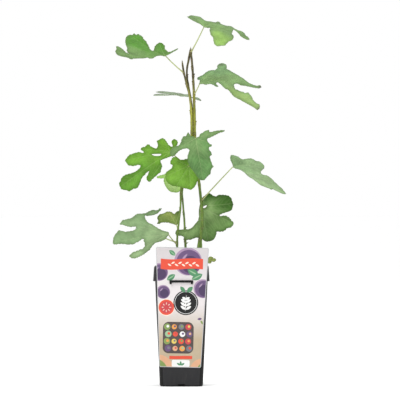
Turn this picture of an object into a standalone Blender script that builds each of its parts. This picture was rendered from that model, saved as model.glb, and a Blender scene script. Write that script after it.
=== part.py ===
"""A young fig tree in a tall square nursery pot, one closed solid for each sub-part.

The origin is the centre of the pot's flat underside, +Z is up, and the printed
label faces -Y. Sizes are in metres, and the tables of the plant are in
millimetres, which MM turns into metres."""

import math

import bpy
import bmesh
import numpy as np
from mathutils import Vector
from mathutils.bvhtree import BVHTree
from mathutils.geometry import delaunay_2d_cdt

MM = 0.001
# Clearance between two pieces that touch
GAP = 0.0003
# The least length that counts as more than none
TINY = 1e-7

# The pot: half widths of its square sections, and their heights
POT_HEIGHT = 0.242
POT_WALL = 0.0016
POT_FLOOR = 0.0024
POT_FOOT_HALF = 0.0420
POT_LOW_HALF = 0.0438
POT_LOW_Z = 0.0030
POT_TOP_HALF = 0.0529
COLLAR_Z = 0.2120
COLLAR_LIP = 0.0008
COLLAR_BAND = 0.0040
COLLAR_SKIRT_HALF = 0.0572
COLLAR_DRAFT = 0.0004
COLLAR_RIM_HALF = 0.0551
RIM_ROUND = 0.0012
CORNER_STEPS = 4

# Radii of the pot's upright corners, from the foot to the rim
FOOT_CORNER = 0.0105
CORNER_RADIUS = 0.0120
RIM_CORNER = 0.0130
UPPER_CORNER = 0.0140
SKIRT_CORNER = 0.0150

# The drain slot at the foot of each wall
SLOT_WIDTH = 0.015
SLOT_HEIGHT = 0.003
SLOT_Z = 0.0014
SLOT_PROUD = 0.001
SLOT_DEPTH = 0.005

# The bar that the label hangs on, with a lug turned down at each end
BAR_HALF = 0.0233
BAR_LOW = 0.2107
BAR_HIGH = 0.2140
BAR_FRONT = 0.0622
BAR_BACK = 0.0560
LUG_WIDTH = 0.0040
LUG_LOW = 0.2066
LUG_BACK = 0.0605

# The label, which leans on the collar's skirt and on the wall near its foot, a little askew
LABEL_TOP = 0.2808
LABEL_BOTTOM = 0.0389
LABEL_TOP_HALF = 0.0531
LABEL_BOTTOM_HALF = 0.0420
LABEL_SLANT = math.radians(1.15)
LABEL_SHIFT = 0.0010
LABEL_THICK = 0.0008
LABEL_CORNER = 0.003
LABEL_CORNER_STEPS = 3
LABEL_SLOT_MARGIN = 0.0007

# The root ball
SOIL_TOP = 0.2280

# Leaf blades and the spacing of their meshes
BLADE_THICK = 0.0012
RIM_STEP = 0.0095
NET_STEP = 0.0135
NET_ROW = math.sqrt(3) / 2
NET_CLEAR = 0.45
BASE_BACK = 0.0020
# How far a drawn outline may be off when it is thinned, in steps of the picture
RIM_REACH = 0.6
SEEN_ROUNDS = 60

# The side that blades turn to the light: up and a little to the front
LIGHT_SIDE = (0.0, -0.5, 1.0)

# Shape of a lobe: how far out, and how wide, its two shoulders are
NECK_OUT = 0.34
NECK_WIDE = 0.78
SHOULDERS = ((0.66, 1.0), (0.92, 0.64))

# Limbs, and how a petiole's flat ends are brought up to their seats
LIMB_STEP = 0.016
PETIOLE_STEPS = 6
SEAT_REACH = 0.012
SEAT_STEP = 0.00005
SEAT_SIDES = 8
SEAT_RINGS = (0, 1, 3)
LIMB_BEVEL_RESOLUTION = 2
PETIOLE_BASE_RADIUS = 0.0014
PETIOLE_TIP_RADIUS = 0.0010

# Each finish: its base colour and its roughness
POT_FINISH = ((0.012, 0.012, 0.013), 0.38)
SOIL_FINISH = ((0.040, 0.024, 0.014), 0.95)
LABEL_FINISH = ((0.62, 0.55, 0.46), 0.40)
STEM_FINISH = ((0.14, 0.17, 0.04), 0.60)
PETIOLE_FINISH = ((0.30, 0.38, 0.13), 0.50)
LEAF_FINISH = ((0.16, 0.30, 0.09), 0.50)

# Each stem: x, y, z and radius from the foot to the tip, in millimetres
STEMS = {
    "stem_main": (
        (35.4, 4, 228.3, 7.2), (35.4, 4, 235, 5.8), (35.7, 4, 246, 5.1),
        (36.6, 4, 264, 4.9),
        (36.9, 4, 281, 5.4), (38.0, 4, 296, 3.7), (40.6, 3, 317, 3.0),
        (42.0, 2, 349, 2.8), (39.6, 2, 376, 2.8), (35.1, 2, 417, 2.8),
        (27.6, 2, 498, 2.8), (26.3, 1, 555, 2.7), (24.9, 0, 599, 2.4),
        (23.5, 0, 626, 2.3), (21.6, 0, 652, 2.2), (19.6, 0, 672, 1.9),
        (18.6, 0, 684, 1.0),
    ),
    "stem_left": (
        (-8.0, -2, 228.3, 4.4), (-8.0, -2, 235, 3.2), (-8.4, -2, 252, 2.6),
        (-8.7, -3, 281, 2.1),
        (-8.3, -4, 303, 2.0), (-4.7, -4, 336, 1.9), (-2.0, -4, 362, 1.9),
        (-1.0, -3, 398, 1.9), (5.0, -3, 421, 1.9), (13.2, -3, 445, 1.9),
        (18.2, -3, 466, 2.0), (19.9, -3, 488, 2.1), (20.4, -3, 512, 2.2),
        (19.7, -3, 555, 2.3), (16.4, -3, 588, 2.1), (11.0, -3, 609, 2.0),
        (5.6, -3, 631, 1.9), (2.4, -3, 649, 1.9), (1.5, -3, 657, 1.1),
    ),
    "stem_middle": (
        (11.0, 6, 228.3, 4.8), (11.0, 6, 235, 3.6), (10.2, 6, 252, 3.0),
        (8.2, 8, 281, 2.5),
        (7.1, 9, 303, 2.2), (5.7, 8, 336, 2.0), (3.5, 6, 362, 1.9),
        (1.5, 4, 398, 1.9), (7.0, 4, 421, 1.9), (14.6, 4, 445, 1.9),
        (19.4, 4, 466, 1.9), (21.2, 5, 488, 1.9), (22.8, 7, 512, 2.0),
        (22.0, 7, 555, 2.1), (18.2, 5, 584, 2.1), (14.0, 4, 608, 2.0),
        (11.0, 4, 628, 2.0), (11.4, 4, 644, 1.9), (14.4, 4, 660, 2.1),
        (16.3, 4, 672, 1.9), (16.9, 4, 680, 0.9),
    ),
}


class Leaf:
    """One leaf: its joint, its lobes and its petiole.

    joint is where the ribs meet. Each lobe is the x, y, z of its tip from the
    joint and its half width, in order round the blade from one side of the
    petiole to the other. notches holds the place between each two lobes: a
    share of the shorter rib, or a point from the joint. arch is how far a rib's
    middle stands above its chord, as a share of its length. root is the stem's
    name and the height where the petiole leaves it, and bow is how far the
    petiole's middle is pushed, as x, y, z. bends holds the point that a lobe's
    rib bows towards, by the lobe's number. A leaf in RIMS has its outline there
    and needs no widths and notches."""

    def __init__(self, joint, lobes, root, notches=(), arch=0.06, bow=(0, 0, -3), bends=None):
        self.joint = joint
        self.lobes = lobes
        self.notches = notches
        self.root = root
        self.arch = arch
        self.bow = bow
        self.bends = bends or {}


LEAVES = {
    "top_right": Leaf(
        (46, -4, 728),
        ((-26, 26, 22, 12), (-34, -8, 19, 10), (34, -54, -40, 24),
         (90, -4, -27, 13), (29, 42, 8, 18)),
        ("stem_main", 676), arch=0.05),
    "top_left": Leaf(
        (-33, -2, 669),
        ((27, -18, 14, 8), (-65, -44, -8, 18), (-101, -14, 9, 16),
         (-69, 44, 41, 22), (-12, 34, 25, 12)),
        ("stem_left", 634), arch=-0.04),
    "upper_right": Leaf(
        (37, -8, 612),
        ((37, -30, -6, 8), (119, -44, -53, 13), (124, 6, -8, 11),
         (45, 60, 40, 10), (-4, 18, 10, 11)),
        ("stem_main", 590), arch=0.05),
    "upper_back": Leaf(
        (18, 30, 587),
        ((22, -4, -9, 9), (-36, -16, 2, 11), (-76, -2, 2, 10),
         (-71, 34, 10, 12), (-18, 46, 6, 12)),
        ("stem_middle", 556), (0.30, 0.50, 0.55, 0.45), arch=0.03),
    "middle_left": Leaf(
        (-23, -10, 474),
        ((11, 8, 25, 6), (-16, 2, 27, 11), (-59, -12, 5, 9),
         (-92, -28, -18, 12), (-101, -42, -72, 15), (-43, -30, -61, 12)),
        ("stem_left", 446), arch=0.04),
    "middle_centre": Leaf(
        (15, -14, 445),
        ((-35, -8, 15, 13), (-48, -16, -22, 17), (-26, -20, -42, 19),
         (3, -16, -48, 14), (22, -4, -10, 14)),
        ("stem_left", 405), arch=0.05),
    "middle_front": Leaf(
        (29, -30, 501),
        ((-16, 10, 12, 8), (-50, -12, -32, 12), (15, -20, -86, 24),
         (33, -14, -13, 9), (58, -6, 15, 7)),
        ("stem_main", 456), arch=0.05),
    "right": Leaf(
        (104, -6, 443),
        ((0, 34, 24, 12), (62, 58, 0, 20), (107, 0, -55, 18),
         (59, -44, -39, 19), (6, -30, -7, 14)),
        ("stem_main", 374), arch=0.06, bow=(0, 0, 1)),
    "lower_right": Leaf(
        (38, 16, 362),
        ((-50, -15, -51, 9), (17, 6, -70, 14), (68, -16, -34, 14),
         (67, -14, 7, 17), (17, 2, 28, 12)),
        ("stem_main", 334), arch=-0.02, bow=(0, 1, 0), bends={0: (0, -10, -60)}),
    "lower_left": Leaf(
        (-27, -14, 307),
        ((-78, -30, -46, 9), (-112, -34, -16, 13), (-97, -8, 21, 9),
         (-15, 38, 51, 6)),
        ("stem_left", 286), arch=0.04, bends={3: (-85, 0, 26)}),
    "lower_back": Leaf(
        (-11, 8, 327),
        ((7, 8, 25, 8), (-16, 14, 25, 9), (-38, 10, 8, 10), (-20, 4, 1, 8)),
        ("stem_left", 316), arch=0.05, bow=(0, 1, 0)),
    "middle_back": Leaf(
        (13, 16, 425),
        ((-19, 4, -32, 12), (-37, 10, -30, 15), (-63, 26, -3, 6),
         (-24, 34, 16, 14), (16, 26, 10, 12)),
        ("stem_middle", 398), arch=0.04),
    "middle_rear": Leaf(
        (32, 26, 454),
        ((-26, 20, 0, 11), (-20, 62, -12, 15), (4, 100, -30, 18),
         (24, 60, -14, 15), (22, 16, -4, 11)),
        ("stem_main", 424), (0.55, 0.55, 0.55, 0.55), arch=0.05, bow=(0, 2, -2)),
    "lower_rear": Leaf(
        (-50, 34, 306),
        ((-6, -20, -8, 9), (-44, 6, -6, 12), (-44, 66, -6, 16),
         (-6, 76, -2, 14), (12, 34, -2, 10)),
        ("stem_left", 290), (0.55, 0.55, 0.55, 0.55), arch=0.05, bow=(0, 3, -3)),
    "foot": Leaf(
        (51, 6, 251),
        ((9, -7, -3, 4), (19, -2, 3, 6), (12, 8, 9, 5)),
        ("stem_main", 240), (0.6, 0.6), arch=0.05, bow=(0, 0, 0)),
}

# Outlines of the blades that face the front, as seen from there: steps of
# VIEW_STEP right of and below the corner VIEW_CORNER
VIEW_STEP = 0.00203
VIEW_CORNER = (181.5, 385.3)
# Where the front camera aims, across and up, and how far from the plant it stands
VIEW_CENTRE = (0.0376, 0.376)
VIEW_DISTANCE = 6.0
# The outlines themselves, by leaf
RIMS = {
    "top_right": (
        (204.6, 27.4), (201.5, 25.8), (196.5, 23.4), (191.5, 20.6), (188.4, 18.8), (187.1, 17.2),
        (189, 17), (190.6, 15.8), (195, 16.8), (200, 18), (203, 20.3), (206, 21.8), (210, 21.9),
        (214, 22.8), (218.5, 22.4), (221.5, 24.8), (226, 26.4), (231, 27.3), (234.6, 29.8),
        (237.5, 31), (241, 32), (244, 33.9), (245.6, 36.4), (247.8, 38), (248.8, 40.1),
        (246, 40.2), (243, 38.6), (240, 35.8), (236.5, 32.2), (233.2, 30.4), (232.4, 32.2),
        (231.6, 34.6), (232.9, 36.6), (232.8, 39), (231.4, 41.2), (228.6, 42.4), (226.4, 44.4),
        (224.6, 46.4), (221, 46.4), (217, 46.8), (214.8, 45), (213.4, 41.6), (212.8, 38),
        (210.9, 36), (210, 33.2), (209.5, 30.6), (210.2, 28), (207, 27.8)),
    "top_left": (
        (166.4, 56.2), (163, 56.1), (159, 56.1), (156, 56.7), (154, 58), (151, 58.9), (148, 58.2),
        (143, 58.5), (138, 58.6), (134, 58.9), (131.5, 59.9), (128.5, 58.9), (124, 58.1),
        (120, 57), (117.5, 55.9), (115.8, 54), (115.2, 51.4), (116.4, 49.6), (116.1, 47),
        (118, 46.8), (121, 48.3), (123, 50.3), (125.4, 52.2), (128, 54), (129.4, 54.2),
        (128, 52.9), (127, 51.2), (127.2, 49), (126, 46), (125.4, 42), (125.9, 39), (127.2, 37),
        (130, 35.6), (132.5, 35.4), (134, 33.9), (136, 35.6), (138, 34.8), (140, 36),
        (142.6, 37.8), (143.6, 40), (145.6, 41.6), (147, 44), (149, 47), (150.6, 50),
        (152.5, 51), (154, 50.4), (154.8, 47.6), (156.5, 45), (159.2, 43.1), (161.6, 43.4),
        (163.6, 45), (164.9, 47), (164.6, 49.6), (166.5, 51.1), (168.4, 52.7), (171, 52.2),
        (174.2, 50.6), (177, 49), (178.4, 48.8), (177.6, 50.4), (174, 52.6), (170, 54.4)),
    "upper_right": (
        (199.2, 84.5), (203, 84.4), (206, 85.4), (210, 84.2), (213, 85.2), (216.4, 87.2),
        (218.2, 87), (217.4, 85.4), (215.9, 84), (217.4, 82.8), (220, 84.2), (222.5, 86.5),
        (225, 89), (228, 90.6), (231.4, 94), (234, 96.5), (237.5, 98.5), (242, 101),
        (246.5, 103.6), (251, 106), (255, 108.7), (257.5, 110.6), (259, 109.2), (259.7, 107),
        (258.8, 104.8), (256.8, 104.2), (255, 102.6), (253, 100.4), (251.9, 97.5), (249.6, 95.2),
        (248.4, 93.5), (245, 93.8), (243, 92.7), (240, 92.1), (237.5, 90.9), (235.3, 90.4),
        (234, 87), (234.3, 84.5), (237, 84), (241, 85.6), (245, 86), (250, 87), (255, 88.2),
        (259, 88.8), (261.2, 87.5), (259.6, 86), (256, 86.2), (252.5, 85), (249, 83.3),
        (246, 81), (243.5, 79.2), (240, 77.5), (236, 75.4), (232, 73), (229, 71), (226.8, 70),
        (226.7, 67), (226, 65), (223, 63.9), (219.5, 64.2), (217.3, 66), (217, 68.4),
        (215.4, 70), (212, 70.6), (208.5, 71.5), (205.5, 73.4), (202.5, 75.9), (200, 76.9),
        (197.8, 78), (197.2, 79.6), (199.3, 80.4), (199.5, 82.2)),
    "middle_left": (
        (171.4, 156), (168, 157.9), (163.6, 159.4), (160.8, 160.6), (160.6, 163), (161.9, 165.6),
        (161, 169), (160.4, 172.4), (157.6, 174.8), (154.6, 177.4), (151.8, 179.8), (150, 181.9),
        (147.8, 181.2), (146.4, 179), (147, 176.4), (148.4, 173.6), (148.9, 171.6), (147, 172.4),
        (144.6, 175.3), (142.4, 177.4), (140.8, 180.6), (139, 185), (137, 188.4), (133, 189.4),
        (129.4, 191.6), (125.4, 190.4), (121.6, 189.6), (120, 186.6), (119.1, 184), (120.5, 181),
        (121.5, 178), (125, 175.3), (130, 173.9), (134.5, 172), (138, 169.5), (140.1, 167),
        (140.4, 165.7), (138, 165.2), (134.2, 166.2), (131, 166.2), (128, 165.3), (126.4, 163),
        (124.9, 160.7), (126.2, 158.5), (128, 156.4), (130, 154.9), (133, 154.2), (136, 152.9),
        (139.4, 152.4), (142, 153.2), (144, 152.9), (142.8, 151.4), (141, 149.6), (142, 147.6),
        (145, 147.1), (146.5, 145.6), (148.3, 144.8), (150.5, 146.6), (153.5, 148),
        (156.4, 148.2), (157.5, 146), (157, 143), (156.6, 141), (159.5, 139.9), (162, 138.3),
        (164.6, 139.4), (167, 142.4), (168.5, 145), (170.5, 146.6), (172.8, 147), (172.4, 144.6),
        (171.8, 141.6), (173.2, 139.7), (175.6, 139.7), (177.5, 142), (177.2, 144.8),
        (175.8, 147.4), (175, 151), (173.6, 154)),
    "middle_centre": (
        (192, 160.4), (187.5, 159.8), (183, 159.8), (179.6, 159.8), (176.6, 157.7), (173.2, 157.6),
        (171.4, 160), (170.2, 163.4), (172.5, 165.8), (171.8, 168.2), (169.4, 170.2), (166, 172.3),
        (165.4, 175), (164.9, 178), (165.6, 180.6), (168, 183.6), (171.6, 185.4), (175.6, 186.4),
        (179.6, 186.9), (183, 188.4), (187, 189), (190.6, 189.9), (193, 188.8), (195.2, 186.4),
        (197, 182.6), (198.6, 178.6), (200, 174), (199.4, 168.4), (196.4, 163.4)),
    "middle_front": (
        (195.7, 138), (194, 136.7), (190.6, 136), (189.4, 133.4), (188, 132.2), (186.8, 134),
        (186, 136), (183.6, 136.6), (182, 139.2), (181, 142.6), (178.8, 145.6), (174.6, 146.9),
        (171.8, 149.2), (170.3, 152), (170.6, 155.4), (172.6, 157), (175.4, 155), (178.6, 151.6),
        (181.6, 149.8), (184.6, 149), (188, 149.1), (189.2, 150.6), (188.4, 153.4), (187.6, 156.8),
        (187.8, 160.4), (188.8, 164.6), (190.8, 168.4), (193.2, 171.4), (195.6, 174.4),
        (197.2, 177), (199.2, 179.4), (201.6, 180.7), (204.5, 180.3), (206.5, 178), (208.6, 175.8),
        (210.4, 174.4), (211.4, 171), (212.8, 167), (212.5, 164), (211.3, 161), (210.4, 158.6),
        (210.4, 156.6), (212.1, 155.3), (211.9, 153.4), (210.8, 151.4), (209.2, 149.2),
        (209.4, 147.8), (211.9, 146.2), (211.9, 144.8), (210, 144.1), (208, 142), (206.9, 139.8),
        (208.5, 138.3), (212, 136.8), (216, 134.9), (220, 132.9), (224, 131.7), (224.6, 130.4),
        (220, 130.3), (215, 131), (211, 132.1), (209.6, 131.9), (208.8, 130.2), (206.5, 130.9),
        (203, 133), (200.3, 135), (199, 136.8), (197.2, 137.4)),
    "right": (
        (233, 167), (232.4, 164.6), (231, 162.6), (230.1, 160), (230.4, 157), (232.5, 155.3),
        (235, 156.2), (238, 157.5), (240, 159.2), (242, 160), (245, 159.5), (248.5, 158.9),
        (251.5, 159.4), (253.5, 160.6), (255.6, 162), (258, 162.1), (260, 162.8), (262.2, 164.3),
        (263.8, 166.5), (263.8, 169), (262.2, 170.8), (260.7, 172.3), (261.2, 173.9),
        (263.5, 175.3), (266.5, 176.2), (269, 178), (271.5, 179.8), (274, 182), (276.5, 184),
        (279, 186.3), (281.3, 188.5), (283, 191), (285.5, 193.8), (284.4, 194.9), (281.5, 194.6),
        (278, 193.1), (275, 191.7), (272.6, 190.2), (270.5, 190.4), (268.5, 189), (265.5, 187.9),
        (262.6, 186.2), (260, 185.1), (257, 183.3), (254.5, 181.8), (252, 180), (249, 178.3),
        (246.5, 176.3), (244.5, 174.3), (242, 172.3), (239.5, 170.6), (237, 169.4), (234.8, 168.4)),
    "lower_right": (
        (199.4, 206.8), (200.6, 203), (202, 199), (204.4, 196.4), (206.4, 194.6), (208.5, 193.2),
        (211, 194), (213.5, 195.8), (216, 196.3), (219, 195.1), (222, 194.9), (226, 195.2),
        (229.4, 196.4), (231.4, 199), (232.4, 202), (233.3, 204.5), (232.7, 207), (232.3, 209.2),
        (230, 211.2), (226.5, 212.5), (223, 213.5), (220.6, 214.6), (219.4, 215.5), (221.6, 216.2),
        (224.5, 215.7), (227.5, 216.8), (230, 218.8), (231.5, 220.8), (233.6, 222.6), (233.2, 225),
        (231.5, 227.3), (229, 228), (227, 228.3), (225, 230.3), (222, 231.6), (218.6, 231.9),
        (216.8, 232.2), (216.9, 234), (216, 236.4), (215, 238.6), (213, 240.5), (210, 241.5),
        (207, 241.8), (204, 241), (202.2, 239.2), (199.6, 238.2), (196.6, 237.9), (194.4, 238.4),
        (191.5, 239.6), (188, 240), (185.6, 239.7), (184.4, 237.6), (182.4, 236.1),
        (179.5, 235.7), (177, 236), (175.6, 234), (175.8, 231.2), (177.8, 229.8), (181, 229.8),
        (185, 229.2), (189, 228.9), (192, 227.2), (194.4, 224.6), (196.4, 222.4), (198, 220.6),
        (198.8, 216.6), (198.7, 211.6)),
    "lower_left": (
        (168.9, 234.6), (168.4, 232.4), (165, 231.5), (161, 230.2), (157.5, 228.4), (154, 226),
        (151, 224), (148.2, 222.8), (146.5, 220.5), (145.1, 218), (144.9, 216.2), (148, 216),
        (152, 215.7), (156, 214.5), (158.5, 212.7), (160, 211), (161.4, 208.9), (159.5, 208.8),
        (157.3, 210.3), (153.5, 210.2), (149.5, 211.4), (145.5, 213.5), (141, 214.1), (137, 214.4),
        (134.5, 216), (131.5, 218.4), (128, 219.3), (124.5, 220.4), (122, 221.2), (120.7, 223),
        (120, 224.4), (122.5, 224.9), (126, 226.1), (130, 227), (133, 226.8), (135.4, 226.6),
        (136, 228.3), (134.8, 230), (132.5, 230.9), (129, 231.6), (125, 232.1), (121.5, 231.5),
        (119.5, 230.8), (117.5, 232.3), (115.5, 234.4), (113.5, 237), (112.9, 240), (113, 244),
        (114.6, 244.8), (119, 244.3), (124, 244.5), (129, 244.9), (134, 244.5), (136, 243),
        (138.5, 242), (140.5, 240.2), (142.3, 239), (143.9, 239.3), (144, 241.5), (145, 244),
        (144.8, 247), (143.3, 248.8), (140, 250), (136, 251.4), (132.5, 252.7), (130.5, 254.4),
        (129.4, 256.5), (131, 257.8), (133.5, 258.6), (137.5, 257.6), (141, 256), (144, 254.4),
        (146.5, 252.3), (149.4, 250.3), (151, 248), (153, 245.5), (155.5, 243.5), (158.5, 242.5),
        (162, 241.2), (165, 239.5), (166.6, 237.5)),
    "lower_back": (
        (176.6, 225.4), (174.6, 224.7), (171, 223.4), (168, 222.7), (164, 222.7), (161.4, 223),
        (159.4, 224.4), (157.2, 223.8), (158.5, 221), (157.4, 218.6), (158.7, 216), (160.5, 214.5),
        (163.5, 213.9), (165.8, 212.4), (168, 211.6), (171, 211.9), (173.2, 213.4),
        (174.6, 214.4), (176.2, 212.3), (178.6, 211.2), (180.4, 212.2), (180.4, 216), (179, 220.6),
        (178.2, 223.6)),
    "middle_back": (
        (188.4, 178), (186, 184), (183, 188), (180.8, 190.6), (178.5, 192.3), (175, 193.1),
        (171, 192.4), (168, 190), (165.5, 186), (163.9, 181.5), (163.7, 179), (160.5, 178.9),
        (157.2, 178.2), (156.7, 177.2), (160, 175.8), (164.6, 174.8), (168, 172.6), (170.4, 169.6),
        (173, 167.5), (176.5, 166.6), (180, 168), (183, 170.5), (187, 169.5), (192, 169),
        (196, 170.5), (195.5, 173), (192, 175), (189.6, 176.4)),
}

# Openings in a blade, drawn like its rim
OPENINGS = {
    "middle_left": ((151.8, 154.5), (154.5, 154.1), (158, 154), (161.2, 154.4), (160.2, 155.7),
                    (157, 156.1), (154, 155.8)),
    "lower_right": ((202.7, 207.4), (204.4, 206.1), (206.8, 205.4), (206.2, 207), (204, 208.1)),
}


def clear_scene():
    for old in list(bpy.data.objects):
        bpy.data.objects.remove(old, do_unlink=True)


def new_collection(name):
    collection = bpy.data.collections.new(name)
    bpy.context.scene.collection.children.link(collection)
    return collection


def material(name, finish):
    """Every piece of the plant and its pot is without metal."""
    colour, roughness = finish
    made = bpy.data.materials.new(name)
    made.use_nodes = True
    made.diffuse_color = (*colour, 1.0)
    shader = made.node_tree.nodes["Principled BSDF"]
    shader.inputs["Base Color"].default_value = (*colour, 1.0)
    shader.inputs["Roughness"].default_value = roughness
    shader.inputs["Metallic"].default_value = 0.0
    return made


def add_object(name, data, collection, finish=None):
    made = bpy.data.objects.new(name, data)
    collection.objects.link(made)
    if finish is not None:
        data.materials.append(finish)
    return made


def rounded_square(half, radius, steps):
    """Points of a square with round corners, anticlockwise seen from above."""
    points = []
    for corner in range(4):
        turn = corner * math.pi / 2
        for step in range(steps + 1):
            angle = step / steps * math.pi / 2
            x = half - radius + radius * math.cos(angle)
            y = half - radius + radius * math.sin(angle)
            points.append((x * math.cos(turn) - y * math.sin(turn),
                           x * math.sin(turn) + y * math.cos(turn)))
    return points


def loft(name, sections):
    """A closed skin over square sections, each (z, half width, corner radius)."""
    mesh = bmesh.new()
    rings = []
    for height, half, radius in sections:
        ring = [mesh.verts.new((x, y, height))
                for x, y in rounded_square(half, radius, CORNER_STEPS)]
        rings.append(ring)
    mesh.faces.new(reversed(rings[0]))
    for low, high in zip(rings, rings[1:]):
        for i in range(len(low)):
            j = (i + 1) % len(low)
            mesh.faces.new((low[i], low[j], high[j], high[i]))
    mesh.faces.new(rings[-1])
    data = bpy.data.meshes.new(name)
    mesh.to_mesh(data)
    mesh.free()
    return data


def box(name, low, high, collection):
    """A cutter or a block between two corners."""
    mesh = bmesh.new()
    bmesh.ops.create_cube(mesh, size=1.0)
    size = Vector(high) - Vector(low)
    centre = (Vector(high) + Vector(low)) / 2
    bmesh.ops.scale(mesh, vec=size, verts=mesh.verts)
    bmesh.ops.translate(mesh, vec=centre, verts=mesh.verts)
    data = bpy.data.meshes.new(name)
    mesh.to_mesh(data)
    mesh.free()
    made = add_object(name, data, collection)
    made.hide_render = True
    made.display_type = "WIRE"
    return made


def boolean(target, tool, operation):
    step = target.modifiers.new(tool.name, "BOOLEAN")
    step.operation = operation
    step.solver = "EXACT"
    step.object = tool


def wall_half(height):
    """Half width of the pot's outer wall at a height below the collar."""
    share = (height - POT_LOW_Z) / (COLLAR_Z - POT_LOW_Z)
    return POT_LOW_HALF + share * (POT_TOP_HALF - POT_LOW_HALF)


def make_pot(collection, cutters):
    inner_low = wall_half(POT_FLOOR) - POT_WALL
    inner_high = POT_TOP_HALF - POT_WALL
    rim_inner = COLLAR_RIM_HALF - 2 * POT_WALL
    sections = (
        (0.0, POT_FOOT_HALF, FOOT_CORNER),
        (POT_LOW_Z, POT_LOW_HALF, CORNER_RADIUS),
        (COLLAR_Z, POT_TOP_HALF, CORNER_RADIUS),
        (COLLAR_Z + COLLAR_LIP, COLLAR_SKIRT_HALF, SKIRT_CORNER),
        (COLLAR_Z + COLLAR_BAND, COLLAR_SKIRT_HALF - COLLAR_DRAFT, SKIRT_CORNER),
        (POT_HEIGHT - RIM_ROUND, COLLAR_RIM_HALF, UPPER_CORNER),
        (POT_HEIGHT, COLLAR_RIM_HALF - RIM_ROUND, RIM_CORNER),
        (POT_HEIGHT, rim_inner, CORNER_RADIUS),
        (COLLAR_Z + COLLAR_BAND, inner_high, CORNER_RADIUS - POT_WALL),
        (POT_FLOOR, inner_low, CORNER_RADIUS - POT_WALL),
    )
    pot = add_object("pot", loft("pot", sections), collection, material("pot", POT_FINISH))
    bar = box("bar", (-BAR_HALF, -BAR_FRONT, BAR_LOW), (BAR_HALF, -BAR_BACK, BAR_HIGH), cutters)
    boolean(pot, bar, "UNION")
    for side in (-1, 1):
        inner, outer = sorted((side * (BAR_HALF - LUG_WIDTH), side * BAR_HALF))
        lug = box(f"lug{side}", (inner, -BAR_FRONT, LUG_LOW), (outer, -LUG_BACK, BAR_HIGH), cutters)
        boolean(pot, lug, "UNION")
    for number in range(4):
        reach = wall_half(SLOT_Z) + SLOT_PROUD
        slot = box(f"drain{number}", (-SLOT_WIDTH / 2, -reach, SLOT_Z),
                   (SLOT_WIDTH / 2, -reach + SLOT_DEPTH, SLOT_Z + SLOT_HEIGHT), cutters)
        slot.rotation_euler.z = number * math.pi / 2
        boolean(pot, slot, "DIFFERENCE")


def make_soil(collection):
    clear = POT_WALL + GAP
    floor = POT_FLOOR + GAP
    sections = (
        (floor, wall_half(floor) - clear - GAP, CORNER_RADIUS - clear),
        (COLLAR_Z, POT_TOP_HALF - clear - GAP, CORNER_RADIUS - clear),
        (SOIL_TOP, POT_TOP_HALF - clear - GAP, CORNER_RADIUS - clear),
    )
    add_object("root_ball", loft("root_ball", sections), collection,
               material("root_ball", SOIL_FINISH))


def flat_outline(curve, points):
    spline = curve.splines.new("POLY")
    spline.points.add(len(points) - 1)
    for knot, (x, y) in zip(spline.points, points):
        knot.co = (x, y, 0.0, 1.0)
    spline.use_cyclic_u = True


def make_label(collection):
    """A tapered plate, turned a little in its own plane, with a slot that stays square
    to the bar that passes through it."""
    seat_high = COLLAR_Z + COLLAR_LIP
    seat_low = LABEL_BOTTOM + LABEL_CORNER
    back_high = COLLAR_SKIRT_HALF + GAP
    back_low = wall_half(seat_low) + GAP
    lean = math.atan2(back_high - back_low, seat_high - seat_low)
    stretch = 1 / math.cos(lean)
    curve = bpy.data.curves.new("label", "CURVE")
    curve.dimensions = "2D"
    curve.fill_mode = "BOTH"
    curve.extrude = LABEL_THICK / 2
    top = (LABEL_TOP - seat_high) * stretch
    bottom = (LABEL_BOTTOM - seat_high) * stretch
    corners = []
    for x, y, start in ((LABEL_BOTTOM_HALF, bottom, -90), (LABEL_TOP_HALF, top, 0),
                        (-LABEL_TOP_HALF, top, 90), (-LABEL_BOTTOM_HALF, bottom, 180)):
        middle_x = x - math.copysign(LABEL_CORNER, x)
        middle_y = y - math.copysign(LABEL_CORNER, y)
        for step in range(LABEL_CORNER_STEPS + 1):
            angle = math.radians(start + step * 90 / LABEL_CORNER_STEPS)
            across = middle_x + LABEL_CORNER * math.cos(angle)
            up = middle_y + LABEL_CORNER * math.sin(angle)
            corners.append((across * math.cos(LABEL_SLANT) + up * math.sin(LABEL_SLANT) + LABEL_SHIFT,
                            up * math.cos(LABEL_SLANT) - across * math.sin(LABEL_SLANT)))
    flat_outline(curve, corners)
    half = BAR_HALF + LABEL_SLOT_MARGIN
    low = (BAR_LOW - LABEL_SLOT_MARGIN - seat_high) * stretch
    high = (BAR_HIGH + LABEL_SLOT_MARGIN - seat_high) * stretch
    flat_outline(curve, ((-half, low), (half, low), (half, high), (-half, high)))
    made = add_object("label", curve, collection, material("label", LABEL_FINISH))
    made.location = (0.0, -back_high - LABEL_THICK / 2 * stretch, seat_high)
    made.rotation_euler = (math.pi / 2 + lean, 0.0, 0.0)


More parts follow.
